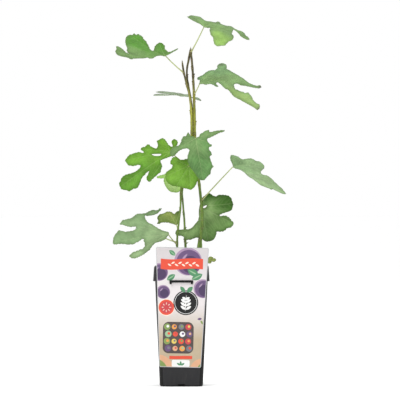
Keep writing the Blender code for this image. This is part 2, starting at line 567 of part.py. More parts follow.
def smooth_curve(points, step, closed=False):
    """Points along a centripetal Catmull-Rom curve, about step apart."""
    points = np.asarray(points, float)
    count = len(points)
    spans = count if closed else count - 1
    curve = []
    for i in range(spans):
        p1 = points[i]
        p2 = points[(i + 1) % count]
        p0 = points[i - 1] if closed or i else 2 * p1 - p2
        p3 = points[(i + 2) % count] if closed or i + 2 < count else 2 * p2 - p1
        d1, d2, d3 = (max(np.linalg.norm(b - a), TINY) ** 0.5
                      for a, b in ((p0, p1), (p1, p2), (p2, p3)))
        pull1 = d2 * ((p1 - p0) / d1 - (p2 - p0) / (d1 + d2) + (p2 - p1) / d2)
        pull2 = d2 * ((p2 - p1) / d2 - (p3 - p1) / (d2 + d3) + (p3 - p2) / d3)
        pieces = max(1, round(float(np.linalg.norm(p2 - p1)) / step))
        for k in range(pieces):
            t = k / pieces
            curve.append((2 * t**3 - 3 * t**2 + 1) * p1 + (t**3 - 2 * t**2 + t) * pull1
                         + (3 * t**2 - 2 * t**3) * p2 + (t**3 - t**2) * pull2)
    if not closed:
        curve.append(points[-1])
    return np.array(curve)


def limb(name, path, collection, finish):
    """A tapering limb through points (x, y, z, radius)."""
    curve = bpy.data.curves.new(name, "CURVE")
    curve.dimensions = "3D"
    curve.bevel_depth = 1.0
    curve.bevel_resolution = LIMB_BEVEL_RESOLUTION
    curve.use_fill_caps = True
    spline = curve.splines.new("POLY")
    spline.points.add(len(path) - 1)
    for knot, (x, y, z, radius) in zip(spline.points, path):
        knot.co = (x, y, z, 1.0)
        knot.radius = radius
    return add_object(name, curve, collection, finish)


def stem_path(name):
    return smooth_curve(np.array(STEMS[name]) * MM, LIMB_STEP)


def along_stem(name, height):
    """Middle, direction and radius of a stem at a height."""
    path = stem_path(name)
    i = int(np.searchsorted(path[:, 2], height)) - 1
    share = (height - path[i, 2]) / (path[i + 1, 2] - path[i, 2])
    at = path[i] + share * (path[i + 1] - path[i])
    way = Vector(path[i + 1, :3] - path[i, :3]).normalized()
    return Vector(at[:3]), way, at[3]


def blade_plane(tips):
    """Rows: along the blade, across it, and its upward normal."""
    knots = np.vstack((np.zeros(3), tips))
    normal = np.linalg.svd(knots - knots.mean(axis=0))[2][2]
    if normal @ LIGHT_SIDE < 0:
        normal = -normal
    along = tips.sum(axis=0)
    along -= normal * (along @ normal)
    along /= np.linalg.norm(along)
    return np.array((along, np.cross(normal, along), normal))


def blade_knots(leaf):
    """The blade's plane, its tips and notches in that plane, and half widths."""
    lobes = np.array(leaf.lobes, float) * MM
    tips = lobes[:, :3]
    plane = blade_plane(tips)
    notches = []
    for i, share in enumerate(leaf.notches):
        ribs = np.linalg.norm(tips[i : i + 2], axis=1)
        way = tips[i] / ribs[0] + tips[i + 1] / ribs[1]
        notches.append(plane @ (way / np.linalg.norm(way) * share * ribs.min()))
    return plane, tips @ plane.T, np.array(notches), lobes[:, 3]


def turn_of(flat):
    """1 where the lobes follow each other anticlockwise in the plane, else -1."""
    total = sum(a[0] * b[1] - a[1] * b[0] for a, b in zip(flat, flat[1:]))
    return math.copysign(1.0, total)


def lobed_outline(flat, notches, widths):
    """Knots round a blade that is known by its lobes, in its plane."""
    base = np.array((-BASE_BACK, 0.0))
    gaps = [base, *notches[:, :2], base]
    turn = turn_of(flat)
    knots = [base]
    for i, tip in enumerate(flat[:, :2]):
        root = (gaps[i] + gaps[i + 1]) / 2
        rib = tip - root
        side = np.array((-rib[1], rib[0])) / np.linalg.norm(rib) * turn
        shape = ((NECK_OUT, NECK_WIDE), *SHOULDERS)
        for out, wide in shape:
            knots.append(root + out * rib - side * wide * widths[i])
        knots.append(tip)
        for out, wide in reversed(shape):
            knots.append(root + out * rib + side * wide * widths[i])
        if i < len(flat) - 1:
            knots.append(gaps[i + 1])
    return np.array(knots)


def laid_back(seen, leaf, plane, height):
    """Places seen by the front camera, laid onto the curved blade, in its plane."""
    joint = np.array(leaf.joint) * MM
    steps = (np.array(seen) - VIEW_CORNER) * (VIEW_STEP, -VIEW_STEP) - VIEW_CENTRE
    shown = plane[:, (0, 2)]
    back = np.linalg.inv(shown[:2])
    centre = VIEW_CENTRE - joint[[0, 2]]
    flat = (steps + centre) @ back
    for _ in range(SEEN_ROUNDS):
        rise = height(flat)
        depth = joint[1] + np.column_stack((flat, rise)) @ plane[:, 1]
        target = steps * (1 + depth / VIEW_DISTANCE)[:, None] + centre
        flat = (flat + (target - rise[:, None] * shown[2]) @ back) / 2
    return flat


def thinned(outline, reach):
    """A closed outline with fewer points, and no place further than reach from it."""
    outline = np.array(outline)
    far = int(np.linalg.norm(outline - outline[0], axis=1).argmax())

    def halves(points):
        way = points[-1] - points[0]
        off = np.abs((points - points[0]) @ (-way[1], way[0])) / np.linalg.norm(way)
        top = int(off.argmax())
        if off[top] < reach:
            return [points[0]]
        return halves(points[: top + 1]) + halves(points[top:])
    return np.array(halves(outline[: far + 1]) + halves(np.vstack((outline[far:], outline[:1]))))


def thin_plate(knots, heights):
    """A smooth height over flat points that passes through the knots."""
    def bend(a, b):
        gap = np.linalg.norm(a[:, None] - b[None], axis=2)
        return gap**2 * np.log(np.maximum(gap, TINY))
    count = len(knots)
    flat = np.column_stack((np.ones(count), knots))
    system = np.zeros((count + 3, count + 3))
    system[:count, :count] = bend(knots, knots)
    system[:count, count:] = flat
    system[count:, :count] = flat.T
    weights = np.linalg.solve(system, np.append(heights, (0, 0, 0)))

    def height(points):
        slope = np.column_stack((np.ones(len(points)), points)) @ weights[count:]
        return bend(points, knots) @ weights[:count] + slope
    return height


def inside(points, rim):
    """Which points lie inside a closed rim, by crossings."""
    hit = np.zeros(len(points), bool)
    for (x1, y1), (x2, y2) in zip(rim, np.roll(rim, -1, axis=0)):
        between = (y1 > points[:, 1]) != (y2 > points[:, 1])
        if between.any():
            cross = x1 + (points[:, 1] - y1) / (y2 - y1) * (x2 - x1)
            hit ^= between & (points[:, 0] < cross)
    return hit


def blade_net(rim, opening, step):
    """Triangles over the blade, from its rim, its opening and an even net inside."""
    low = rim.min(axis=0)
    high = rim.max(axis=0)
    rows = []
    for row, y in enumerate(np.arange(low[1], high[1], step * NET_ROW)):
        shift = step / 2 if row % 2 else 0.0
        rows += [(x + shift, y) for x in np.arange(low[0], high[0], step)]
    edges = np.vstack((rim, opening))
    net = np.array(rows)
    net = net[inside(net, rim)]
    far = np.linalg.norm(net[:, None] - edges[None], axis=2).min(axis=1) > step * NET_CLEAR
    points = [Vector(p) for p in (*edges, *net[far])]
    first = len(rim)
    count = len(opening)
    loop = [(first + i, first + (i + 1) % count) for i in range(count)]
    made = delaunay_2d_cdt(points, loop, [list(range(first))], 1, TINY)
    flat = np.array([tuple(v) for v in made[0]])
    faces = np.array([tuple(f) for f in made[2]])
    if count:
        faces = faces[~inside(flat[faces].mean(axis=1), opening)]
    return flat, faces


def blade_mesh(name, leaf):
    plane, flat, notches, widths = blade_knots(leaf)
    middles = flat / 2
    middles[:, 2] += leaf.arch * np.linalg.norm(flat, axis=1)
    for i, bend in leaf.bends.items():
        middles[i] = plane @ (np.array(bend) * MM) / 2 + flat[i] / 4
    knots = np.vstack((np.zeros((1, 3)), flat, middles, *notches))
    surface = thin_plate(knots[:, :2], knots[:, 2])
    opening = np.zeros((0, 2))
    if name in RIMS:
        outline = laid_back(thinned(RIMS[name], RIM_REACH), leaf, plane, surface)
        if name in OPENINGS:
            opening = laid_back(thinned(OPENINGS[name], RIM_REACH / 2), leaf, plane, surface)
    else:
        outline = lobed_outline(flat, notches, widths)
    rim = smooth_curve(outline, RIM_STEP, closed=True)
    points, faces = blade_net(rim, opening, NET_STEP)
    world = np.column_stack((points, surface(points))) @ plane + np.array(leaf.joint) * MM
    data = bpy.data.meshes.new(name)
    data.from_pydata([tuple(p) for p in world], [], [tuple(f) for f in faces])
    data.validate()
    return data


def make_leaf(name, leaf, collection, finish):
    """The blade's open surface, made solid."""
    blade = add_object(f"leaf_{name}", blade_mesh(name, leaf), collection, finish)
    solid = blade.modifiers.new("blade", "SOLIDIFY")
    solid.thickness = BLADE_THICK
    solid.offset = 0.0
    return blade


def surface_tree(made):
    """A tree for measuring to an object's surface."""
    shown = made.evaluated_get(bpy.context.evaluated_depsgraph_get())
    data = shown.to_mesh()
    tree = BVHTree.FromPolygons([v.co.copy() for v in data.vertices],
                                [tuple(p.vertices) for p in data.polygons])
    shown.to_mesh_clear()
    return tree


def seated_cap(tree, seat, outward, radius):
    """The nearest place to the seat, along outward, for a limb's flat end to
    clear the surface by GAP."""
    side = outward.orthogonal().normalized() * radius
    turned = outward.cross(side)
    centre = seat + outward * SEAT_REACH
    for step in range(int(SEAT_REACH / SEAT_STEP)):
        nearer = seat + outward * (SEAT_REACH - step * SEAT_STEP)
        rim = [nearer + side * math.cos(a) + turned * math.sin(a) + outward * back * radius
               for a in np.arange(SEAT_SIDES) * math.tau / SEAT_SIDES for back in SEAT_RINGS]
        if min(tree.find_nearest(p)[3] for p in (*rim, nearer)) < GAP:
            break
        centre = nearer
    return centre


def make_petiole(name, leaf, stem, blade, collection, finish):
    """From just off its stem to just short of its blade."""
    foot, axis, _ = along_stem(leaf.root[0], leaf.root[1] * MM)
    joint = Vector(leaf.joint) * MM
    middle = (foot + joint) / 2 + Vector(leaf.bow) * MM
    start = seated_cap(surface_tree(stem), foot, (middle - foot).normalized(), PETIOLE_BASE_RADIUS)
    end = seated_cap(surface_tree(blade), joint, (middle - joint).normalized(), PETIOLE_TIP_RADIUS)
    path = []
    for step in range(PETIOLE_STEPS + 1):
        t = step / PETIOLE_STEPS
        at = (1 - t) ** 2 * start + 2 * t * (1 - t) * middle + t * t * end
        radius = PETIOLE_BASE_RADIUS + t * (PETIOLE_TIP_RADIUS - PETIOLE_BASE_RADIUS)
        path.append((*at, radius))
    limb(f"petiole_{name}", path, collection, finish)


def main():
    clear_scene()
    parts = new_collection("fig_tree_in_pot")
    cutters = new_collection("cutters")
    make_pot(parts, cutters)
    make_soil(parts)
    make_label(parts)
    stems = {}
    for name in STEMS:
        stems[name] = limb(name, stem_path(name), parts, material(name, STEM_FINISH))
    for name, leaf in LEAVES.items():
        blade = make_leaf(name, leaf, parts, material(f"leaf_{name}", LEAF_FINISH))
        stalk = material(f"petiole_{name}", PETIOLE_FINISH)
        make_petiole(name, leaf, stems[leaf.root[0]], blade, parts, stalk)


main()
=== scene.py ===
"""The looks of a young fig tree in a tall square nursery pot.

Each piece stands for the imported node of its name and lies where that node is. The
origin is the centre of the pot's flat underside, +Z is up, and the label faces -Y.
Sizes are in metres, and the tables of the plant are in millimetres, which MM turns
into metres."""

import math
import random

import bmesh
import bpy
import numpy as np
from mathutils import Matrix, Vector, kdtree, noise
from mathutils.geometry import delaunay_2d_cdt


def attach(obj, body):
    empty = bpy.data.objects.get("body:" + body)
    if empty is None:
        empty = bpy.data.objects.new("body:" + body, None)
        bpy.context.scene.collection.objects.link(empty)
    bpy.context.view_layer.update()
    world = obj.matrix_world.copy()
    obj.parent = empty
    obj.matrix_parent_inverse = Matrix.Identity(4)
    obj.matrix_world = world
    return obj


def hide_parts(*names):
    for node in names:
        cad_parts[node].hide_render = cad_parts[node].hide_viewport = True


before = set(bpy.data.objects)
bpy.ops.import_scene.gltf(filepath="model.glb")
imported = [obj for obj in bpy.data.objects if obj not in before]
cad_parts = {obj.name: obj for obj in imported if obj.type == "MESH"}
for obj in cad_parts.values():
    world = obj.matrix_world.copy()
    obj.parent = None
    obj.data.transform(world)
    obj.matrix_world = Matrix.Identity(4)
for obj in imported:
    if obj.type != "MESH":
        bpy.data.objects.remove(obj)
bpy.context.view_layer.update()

MM = 0.001
TINY = 1e-7
BATCH = 2000

# Where the noise of the pot, the soil and the stalks starts, and the seed of the chips
POT_SEED = 3.0
SOIL_SEED = 7.0
STALK_SEED = 9.0
CHIP_SEED = 11

# The picture: a square view, its middle, its width at the plant, and the distance
VIEW_CENTRE = (0.0376, 0.376)
VIEW_WIDTH = 0.812
VIEW_DISTANCE = 6.0
SENSOR = 36.0

# The pot: half widths of its square sections, and their heights
POT_HEIGHT = 0.242
POT_WALL = 0.0016
POT_FLOOR = 0.0024
POT_FOOT_HALF = 0.0420
POT_LOW_HALF = 0.0438
POT_LOW_Z = 0.0030
POT_TOP_HALF = 0.0529
COLLAR_Z = 0.2120
COLLAR_LIP = 0.0008
COLLAR_BAND = 0.0040
COLLAR_SKIRT_HALF = 0.0572
COLLAR_DRAFT = 0.0004
COLLAR_RIM_HALF = 0.0551
RIM_ROUND = 0.0012
FOOT_CORNER = 0.0105
CORNER_RADIUS = 0.0120
RIM_CORNER = 0.0130
UPPER_CORNER = 0.0140
SKIRT_CORNER = 0.0150
POT_CORNER_STEPS = 14
POT_ROWS = 16
POT_EDGE_ROUND = 0.0004
POT_EDGE_ANGLE = math.radians(28)
POT_WAVE = 0.00025
POT_WAVE_LENGTH = 0.07
SHARP_ANGLE = math.radians(30)

# The drain slot at the foot of each wall
SLOT_WIDTH = 0.015
SLOT_HEIGHT = 0.003
SLOT_Z = 0.0014
SLOT_PROUD = 0.001
SLOT_DEPTH = 0.005

# The bar that the label hangs on, with a lug turned down at each end
BAR_HALF = 0.0233
BAR_LOW = 0.2107
BAR_HIGH = 0.2140
BAR_FRONT = 0.0622
BAR_BACK = 0.0560
LUG_WIDTH = 0.0040
LUG_LOW = 0.2066
LUG_BACK = 0.0605

# The label, which hangs a little askew. LABEL_PLATE is the thickness of its node, and
# LABEL_NET, LABEL_INSET and LABEL_CURL_HALF are in millimetres
LABEL_TOP = 0.2808
LABEL_BOTTOM = 0.0389
LABEL_TOP_HALF = 0.0531
LABEL_BOTTOM_HALF = 0.0420
LABEL_PLATE = 0.0008
LABEL_THICK = 0.0006
LABEL_CORNER = 0.003
LABEL_SLOT_MARGIN = 0.0007
LABEL_SLANT = math.radians(1.15)
LABEL_SHIFT = 0.0010
LABEL_NET = 4.0
LABEL_INSET = 1.3
LABEL_CORNER_STEPS = 9
LABEL_BOW = 0.0005
LABEL_CURL = 0.0009
LABEL_CURL_HALF = 52.0
INK_SHARE = 0.75
GAP = 0.0003

# The compost
SOIL_TOP = 0.2280
SOIL_HALF = 0.0503
SOIL_RINGS = 34
SOIL_HEAP = 0.0016
SOIL_HEAP_REACH = 0.011
SOIL_ROUGH = 0.0011
SOIL_BUMPS = (0.016, 0.006, 0.0026)
CHIP_COUNT = 620
CHIP_SIZE = (0.0009, 0.0030)
CHIP_EDGE = 0.002
CHIP_RISE = 0.0003

# Each kind of chip: how common it is, its light and dark colours, and whether it is round
CHIPS = {
    "chip_dark": (5, (0.050, 0.028, 0.017), (0.018, 0.010, 0.007), False),
    "chip_brown": (4, (0.130, 0.070, 0.036), (0.045, 0.022, 0.012), False),
    "chip_peat": (3, (0.075, 0.050, 0.032), (0.025, 0.015, 0.010), False),
    "chip_white": (0.35, (0.62, 0.60, 0.55), (0.40, 0.38, 0.34), True),
}

# Leaf blades and the spacing of their meshes
RIM_STEP = 0.0010
NET_STEP = 0.0015
NET_ROW = math.sqrt(3) / 2
NET_CLEAR = 0.55
BASE_BACK = 0.0020
BLADE_HALF = 0.00022
RIM_HALF = 0.00010

# The scallops of a blade's rim
SCALLOP_LENGTH = 0.0070
SCALLOP_DEPTH = 0.0012
SCALLOP_QUIET = 0.008

# Veins: half widths; the spacing along a rib, angle from it and turn at each step of those
# at its sides; how near a tip or another rib they come, and the share of each that is kept
RIB_WIDTH = 0.00075
SIDE_WIDTH = 0.00042
SIDE_SPACING = 0.0085
SIDE_ANGLE = math.radians(52)
SIDE_TURN = 0.965
SIDE_STEPS = 60
SIDE_END = 0.004
SIDE_APART = 0.0025
SIDE_KEPT = 0.9
VEIN_STEP = 0.0012
VEIN_CREASE = 0.00030
VEIN_RIDGE = 0.00045
VEIN_TAPER = 0.45
SIDE_SHARE = 0.42

# Relief between the veins, and how far each part of it reaches
QUILT = 0.00028
QUILT_REACH = 0.0022
FOLD = 0.0016
FOLD_REACH = 0.010
WAVE = 0.0014
WAVE_LENGTH = 0.022
RIPPLE = 0.22
LOOSE_REACH = 0.012
THIN_REACH = 0.002

# How far in from the rim its browned edge and its darker margin of painted shade reach, and
# how far from a rib each lobe's painted sunlight
EDGE_REACH = 0.0013
RIM_SHADE_REACH = 0.0045
PAINTED_LIGHT_REACH = 0.0060

# A leaf this long from its joint has its whole relief, and a smaller one a share of it
FULL_LEAF = 0.06

# The side that blades turn to the light: up and a little to the front
LIGHT_SIDE = (0.0, -0.5, 1.0)

# Shape of a lobe: how far out, and how wide, its neck and its two shoulders are
LOBE_SHAPE = ((0.34, 0.78), (0.66, 1.0), (0.92, 0.64))

# Rounds that lay an outline seen from the front onto its curved blade
SEEN_ROUNDS = 60

# Stems and petioles. A petiole shorter than PETIOLE_FULL is thinner. How much it widens at
# its foot and its end and sinks in its groove comes with how far that reaches
STEM_STEP = 0.0013
STEM_SIDES = 26
PETIOLE_STEP = 0.0012
PETIOLE_SIDES = 14
PETIOLE_BASE_RADIUS = 0.0014
PETIOLE_TIP_RADIUS = 0.0010
PETIOLE_FULL = 0.030
PETIOLE_FLARE = (0.55, 0.0055)
PETIOLE_CAP = (0.35, 0.0022)
PETIOLE_GROOVE = (0.10, 0.45)
PETIOLE_TINT_REACH = 0.012

# Bark: fine streaks along the stem and broad lumps, as shares of its radius
STREAK = 0.045
STREAK_LENGTH = 0.0016
STREAK_SQUASH = 0.12
LUMP = 0.05
LUMP_LENGTH = 0.009

# Joints of a stem: how far the first bare one is from the compost, how clear each stays of
# the others, and their spacing and turn
NODE_FOOT = 0.014
NODE_CLEAR = 0.012
NODE_STEPS = (0.020, 0.034)
NODE_TURN = math.radians(137)

# What stands out at a joint, as shares of the stem's radius: the swelling, its ring, and
# the pad of a bare joint and of one that bears a leaf
NODE_SWELL = 0.11
NODE_SWELL_REACH = 0.0042
NODE_RING = 0.10
NODE_RING_UP = 0.0006
NODE_RING_REACH = 0.00055
NODE_PADS = (0.30, 0.45)
NODE_PAD_DOWN = 0.0012
NODE_PAD_REACH = 0.0020

# Pores, buds, and the stub of a cut shoot low on one stem. BUD_SHARE is a bud's radius
# by its stem's, and BUD_LONG its length by its own radius
PORE_STEP = 0.0022
PORE_SIZE = (0.0003, 0.00055)
PORE_RISE = 0.00012
BUD_RINGS = 9
BUD_SIDES = 10
BUD_SHARE = 0.55
BUD_LEAST = 0.0003
BUD_LONG = 2.6
BUD_LEAN = 1.2
BUD_UP = 0.0022
TIP_BUD_LENGTH = 0.0075
TIP_BUD_SHARE = 0.95
STUB_STEM = "stem_middle"
STUB_HEIGHT = 0.287
STUB_LENGTH = 0.0062
STUB_RADIUS = 0.0017
STUB_WAY = (0.93, -0.25, 0.45)

# The soft lights: place, aim, width and power
LIGHTS = {
    "key": ((-1.4, -1.8, 2.3), (0.03, 0.0, 0.40), 1.3, 42),
    "top": ((0.5, 0.4, 2.6), (0.03, 0.0, 0.45), 1.6, 26),
}
FLOOR_HALF = 60.0

# A Mix node's sockets for colours: its share and two colours, and its result
MIX_INPUTS = (0, 6, 7)
MIX_OUTPUT = 2

# Each stem: x, y, z and radius from the foot to the tip, in millimetres
STEMS = {
    "stem_main": (
        (35.4, 4, 228.3, 7.2), (35.4, 4, 235, 5.8), (35.7, 4, 246, 5.1),
        (36.6, 4, 264, 4.9),
        (36.9, 4, 281, 5.4), (38.0, 4, 296, 3.7), (40.6, 3, 317, 3.0),
        (42.0, 2, 349, 2.8), (39.6, 2, 376, 2.8), (35.1, 2, 417, 2.8),
        (27.6, 2, 498, 2.8), (26.3, 1, 555, 2.7), (24.9, 0, 599, 2.4),
        (23.5, 0, 626, 2.3), (21.6, 0, 652, 2.2), (19.6, 0, 672, 1.9),
        (18.6, 0, 684, 1.0),
    ),
    "stem_left": (
        (-8.0, -2, 228.3, 4.4), (-8.0, -2, 235, 3.2), (-8.4, -2, 252, 2.6),
        (-8.7, -3, 281, 2.1),
        (-8.3, -4, 303, 2.0), (-4.7, -4, 336, 1.9), (-2.0, -4, 362, 1.9),
        (-1.0, -3, 398, 1.9), (5.0, -3, 421, 1.9), (13.2, -3, 445, 1.9),
        (18.2, -3, 466, 2.0), (19.9, -3, 488, 2.1), (20.4, -3, 512, 2.2),
        (19.7, -3, 555, 2.3), (16.4, -3, 588, 2.1), (11.0, -3, 609, 2.0),
        (5.6, -3, 631, 1.9), (2.4, -3, 649, 1.9), (1.5, -3, 657, 1.1),
    ),
    "stem_middle": (
        (11.0, 6, 228.3, 4.8), (11.0, 6, 235, 3.6), (10.2, 6, 252, 3.0),
        (8.2, 8, 281, 2.5),
        (7.1, 9, 303, 2.2), (5.7, 8, 336, 2.0), (3.5, 6, 362, 1.9),
        (1.5, 4, 398, 1.9), (7.0, 4, 421, 1.9), (14.6, 4, 445, 1.9),
        (19.4, 4, 466, 1.9), (21.2, 5, 488, 1.9), (22.8, 7, 512, 2.0),
        (22.0, 7, 555, 2.1), (18.2, 5, 584, 2.1), (14.0, 4, 608, 2.0),
        (11.0, 4, 628, 2.0), (11.4, 4, 644, 1.9), (14.4, 4, 660, 2.1),
        (16.3, 4, 672, 1.9), (16.9, 4, 680, 0.9),
    ),
}


class Leaf:
    """One leaf: its joint, its lobes and its petiole.

    joint is where the ribs meet. Each lobe is the x, y, z of its tip from the
    joint and its half width, in order round the blade from one side of the
    petiole to the other. notches holds how far out the place between each two
    lobes is, as a share of the shorter rib. arch is how far a rib's middle
    stands above its chord, as a share of its length. root is the stem's
    name and the height where the petiole leaves it, and bow is how far the
    petiole's middle is pushed, as x, y, z. bends holds the point that a lobe's
    rib bows towards, by the lobe's number. A leaf in RIMS has its outline there
    and needs no widths and notches."""

    def __init__(self, joint, lobes, root, notches=(), arch=0.06, bow=(0, 0, -3), bends=None):
        self.joint = joint
        self.lobes = lobes
        self.notches = notches
        self.root = root
        self.arch = arch
        self.bow = bow
        self.bends = bends or {}


LEAVES = {
    "top_right": Leaf(
        (46, -4, 728),
        ((-26, 26, 22, 12), (-34, -8, 19, 10), (34, -54, -40, 24),
         (90, -4, -27, 13), (29, 42, 8, 18)),
        ("stem_main", 676), arch=0.05),
    "top_left": Leaf(
        (-33, -2, 669),
        ((27, -18, 14, 8), (-65, -44, -8, 18), (-101, -14, 9, 16),
         (-69, 44, 41, 22), (-12, 34, 25, 12)),
        ("stem_left", 634), arch=-0.04),
    "upper_right": Leaf(
        (37, -8, 612),
        ((37, -30, -6, 8), (119, -44, -53, 13), (124, 6, -8, 11),
         (45, 60, 40, 10), (-4, 18, 10, 11)),
        ("stem_main", 590), arch=0.05),
    "upper_back": Leaf(
        (18, 30, 587),
        ((22, -4, -9, 9), (-36, -16, 2, 11), (-76, -2, 2, 10),
         (-71, 34, 10, 12), (-18, 46, 6, 12)),
        ("stem_middle", 556), (0.30, 0.50, 0.55, 0.45), arch=0.03),
    "middle_left": Leaf(
        (-23, -10, 474),
        ((11, 8, 25, 6), (-16, 2, 27, 11), (-59, -12, 5, 9),
         (-92, -28, -18, 12), (-101, -42, -72, 15), (-43, -30, -61, 12)),
        ("stem_left", 446), arch=0.04),
    "middle_centre": Leaf(
        (15, -14, 445),
        ((-35, -8, 15, 13), (-48, -16, -22, 17), (-26, -20, -42, 19),
         (3, -16, -48, 14), (22, -4, -10, 14)),
        ("stem_left", 405), arch=0.05),
    "middle_front": Leaf(
        (29, -30, 501),
        ((-16, 10, 12, 8), (-50, -12, -32, 12), (15, -20, -86, 24),
         (33, -14, -13, 9), (58, -6, 15, 7)),
        ("stem_main", 456), arch=0.05),
    "right": Leaf(
        (104, -6, 443),
        ((0, 34, 24, 12), (62, 58, 0, 20), (107, 0, -55, 18),
         (59, -44, -39, 19), (6, -30, -7, 14)),
        ("stem_main", 374), arch=0.06, bow=(0, 0, 1)),
    "lower_right": Leaf(
        (38, 16, 362),
        ((-50, -15, -51, 9), (17, 6, -70, 14), (68, -16, -34, 14),
         (67, -14, 7, 17), (17, 2, 28, 12)),
        ("stem_main", 334), arch=-0.02, bow=(0, 1, 0), bends={0: (0, -10, -60)}),
    "lower_left": Leaf(
        (-27, -14, 307),
        ((-78, -30, -46, 9), (-112, -34, -16, 13), (-97, -8, 21, 9),
         (-15, 38, 51, 6)),
        ("stem_left", 286), arch=0.04, bends={3: (-85, 0, 26)}),
    "lower_back": Leaf(
        (-11, 8, 327),
        ((7, 8, 25, 8), (-16, 14, 25, 9), (-38, 10, 8, 10), (-20, 4, 1, 8)),
        ("stem_left", 316), arch=0.05, bow=(0, 1, 0)),
    "middle_back": Leaf(
        (13, 16, 425),
        ((-19, 4, -32, 12), (-37, 10, -30, 15), (-63, 26, -3, 6),
         (-24, 34, 16, 14), (16, 26, 10, 12)),
        ("stem_middle", 398), arch=0.04),
    "middle_rear": Leaf(
        (32, 26, 454),
        ((-26, 20, 0, 11), (-20, 62, -12, 15), (4, 100, -30, 18),
         (24, 60, -14, 15), (22, 16, -4, 11)),
        ("stem_main", 424), (0.55, 0.55, 0.55, 0.55), arch=0.05, bow=(0, 2, -2)),
    "lower_rear": Leaf(
        (-50, 34, 306),
        ((-6, -20, -8, 9), (-44, 6, -6, 12), (-44, 66, -6, 16),
         (-6, 76, -2, 14), (12, 34, -2, 10)),
        ("stem_left", 290), (0.55, 0.55, 0.55, 0.55), arch=0.05, bow=(0, 3, -3)),
    "foot": Leaf(
        (51, 6, 251),
        ((9, -7, -3, 4), (19, -2, 3, 6), (12, 8, 9, 5)),
        ("stem_main", 240), (0.6, 0.6), arch=0.05, bow=(0, 0, 0)),
}

# The label's inks, as sRGB of 255, in the order of their material slots
INKS = {
    "ground": (232, 226, 226), "margin": (196, 196, 198), "plum": (108, 84, 124),
    "plum_dark": (78, 60, 96), "lilac": (172, 146, 176), "green": (86, 146, 104),
    "pale_green": (158, 198, 156), "coral": (232, 84, 60), "cream": (250, 232, 214),
    "charcoal": (16, 16, 17), "red": (206, 74, 78), "orange": (238, 164, 84),
    "yellow": (232, 206, 104), "olive": (134, 158, 88), "slate": (122, 122, 130),
    "board": (84, 74, 72), "peach": (228, 176, 138), "white": (246, 246, 244),
}

